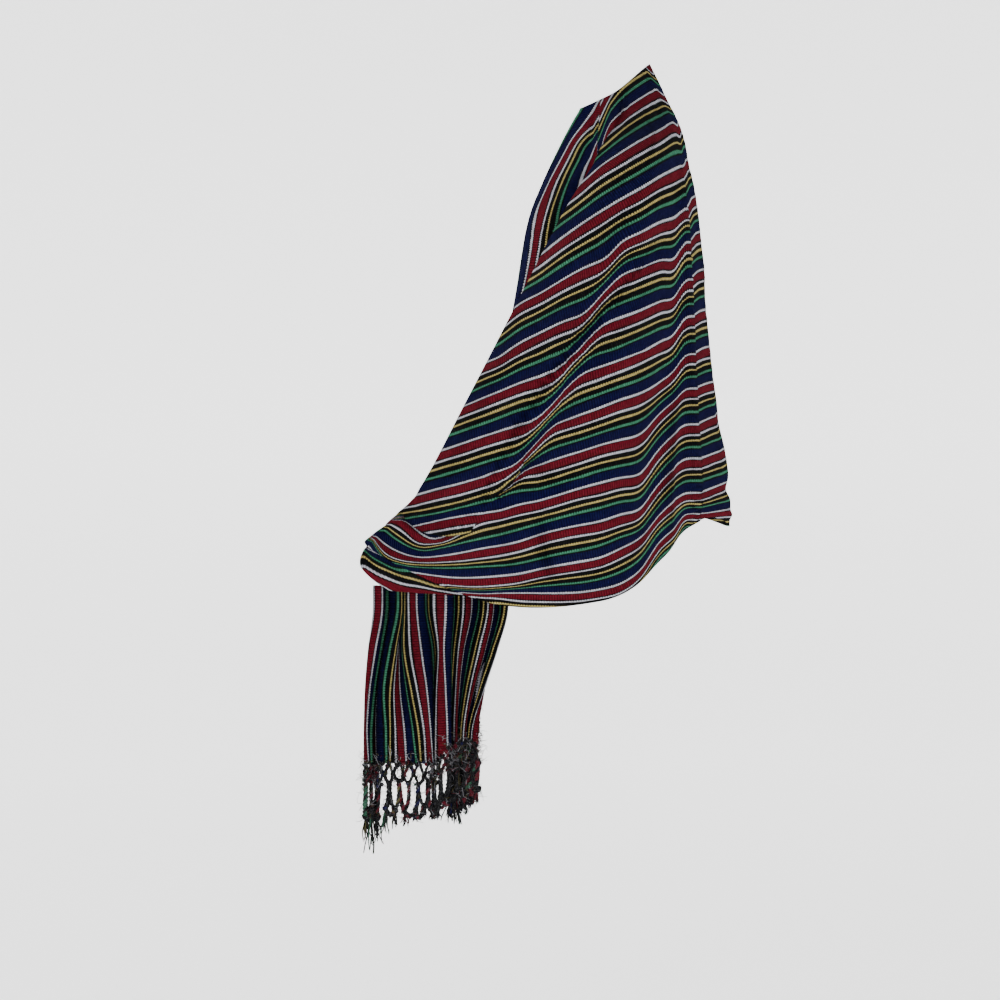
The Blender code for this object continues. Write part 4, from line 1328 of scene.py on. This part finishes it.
# %% Heading, tails and loose hairs
def tie_heading(yarns, place, cells, chance):
    """Small dark knots along the edge of the cloth."""
    for k in range(HEADING_KNOTS * cells):
        drop = chance.uniform(-0.001, 0.004)
        tangle = place(k / (HEADING_KNOTS * cells), drop) + chance.normal(0, 0.0008, 3)
        own = chance.choice(["black", "black", "black", "black", "crimson", "navy"])
        yarns.knot(tangle, HEADING_SIZE * chance.uniform(0.7, 1.3), YARN_COLOURS[own], chance.uniform(0, 6))


def hang_tails(yarns, knots, cells, names, chance):
    """Loose yarns below the last row of knots."""
    for k, knot in enumerate(knots):
        share = (k + 0.5) / cells
        length = float(np.interp(knot[1], TAIL_PLACES, TAIL_LENGTHS)) * chance.uniform(0.45, 1.0)
        for strand in range(STRANDS):
            tail = length * chance.uniform(0.6, 1.0) + 0.004
            heading = chance.normal(0, 1, 2) * (0.10, 0.16)
            swirl = chance.uniform(0, 6)
            t = np.linspace(0, 1, 6)[:, None]
            drift = np.concatenate([heading[0] * t * tail, heading[1] * t * tail, -t * tail], axis=1)
            curl = 0.0016 * np.concatenate([np.sin(t * 5 + swirl), np.cos(t * 6 + swirl), t * 0], axis=1) * t
            own = names(share)[1] if strand else "black"
            yarns.tube(knot + drift + curl, STRAND_RADIUS, YARN_COLOURS[own], sides=3, taper=0.5)


def add_hairs(yarns, rows, chance):
    """Short hairs that stand out from the knots."""
    for _ in range(FLUFF):
        row = rows[chance.integers(0, len(rows))]
        knot = row[chance.integers(0, len(row))]
        start = knot + chance.normal(0, 1, 3) * (0.0026, 0.0028, 0.0060)
        reach = chance.normal(0, 1, 3) * (0.0034, 0.0046, 0.0056)
        bend = chance.normal(0, 0.0020, 3)
        t = np.linspace(0, 1, 4)[:, None]
        colour = YARN_COLOURS[chance.choice(["white", "black", "crimson", "black", "olive", "white"])]
        hair = start + reach * t + bend * np.sin(math.pi * t)
        yarns.tube(hair, FLUFF_RADIUS, colour, sides=3, taper=0.5)


print("hairs on each net:", FLUFF)


# %% Both nets
def net_fringe(side, edge, numbers):
    """The net and the tails of one end."""
    chance = np.random.default_rng(SEEDS[side])
    yarns = Yarns()
    run = np.concatenate([[0], np.cumsum(np.linalg.norm(np.diff(edge, axis=0), axis=1))])
    cells = int(run[-1] / CELL)
    middle = np.median(edge[:, 0])

    def place(share, drop):
        """A point below the edge; lower rows hang in a calmer line."""
        s = np.clip(share, 0, 1) * run[-1]
        point = np.array([np.interp(s, run, edge[:, k]) for k in range(3)])
        point[0] += (middle - point[0]) * min(1.0, drop * CALMER) * 0.5
        point[2] -= drop
        return point

    def names(share, count=2):
        """The yarns of one cord, named by their colours."""
        own = stripe_yarn(float(np.interp(share * run[-1], run, numbers)))
        own = "black" if own == "white" and chance.random() < 0.9 else own
        return ["black"] + [own if chance.random() < 0.45 else "black" for _ in range(count - 1)]

    rows = hang_rows(place, cells, chance)
    tie_net(yarns, rows, names, chance)
    tie_heading(yarns, place, cells, chance)
    hang_tails(yarns, rows[-1], cells, names, chance)
    add_hairs(yarns, rows, chance)
    piece = yarns.piece(side + "_net")
    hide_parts(side + "_fringe")
    return piece


for side, hand in SIDES:
    pleats, edge, numbers = ends[side]
    net = net_fringe(side, edge, numbers)
    side + "_wrist_band"
    lowest = min(point.co.z for point in net.data.vertices)
    print(side, "net faces:", len(net.data.polygons), "lowest", round(lowest, 3))
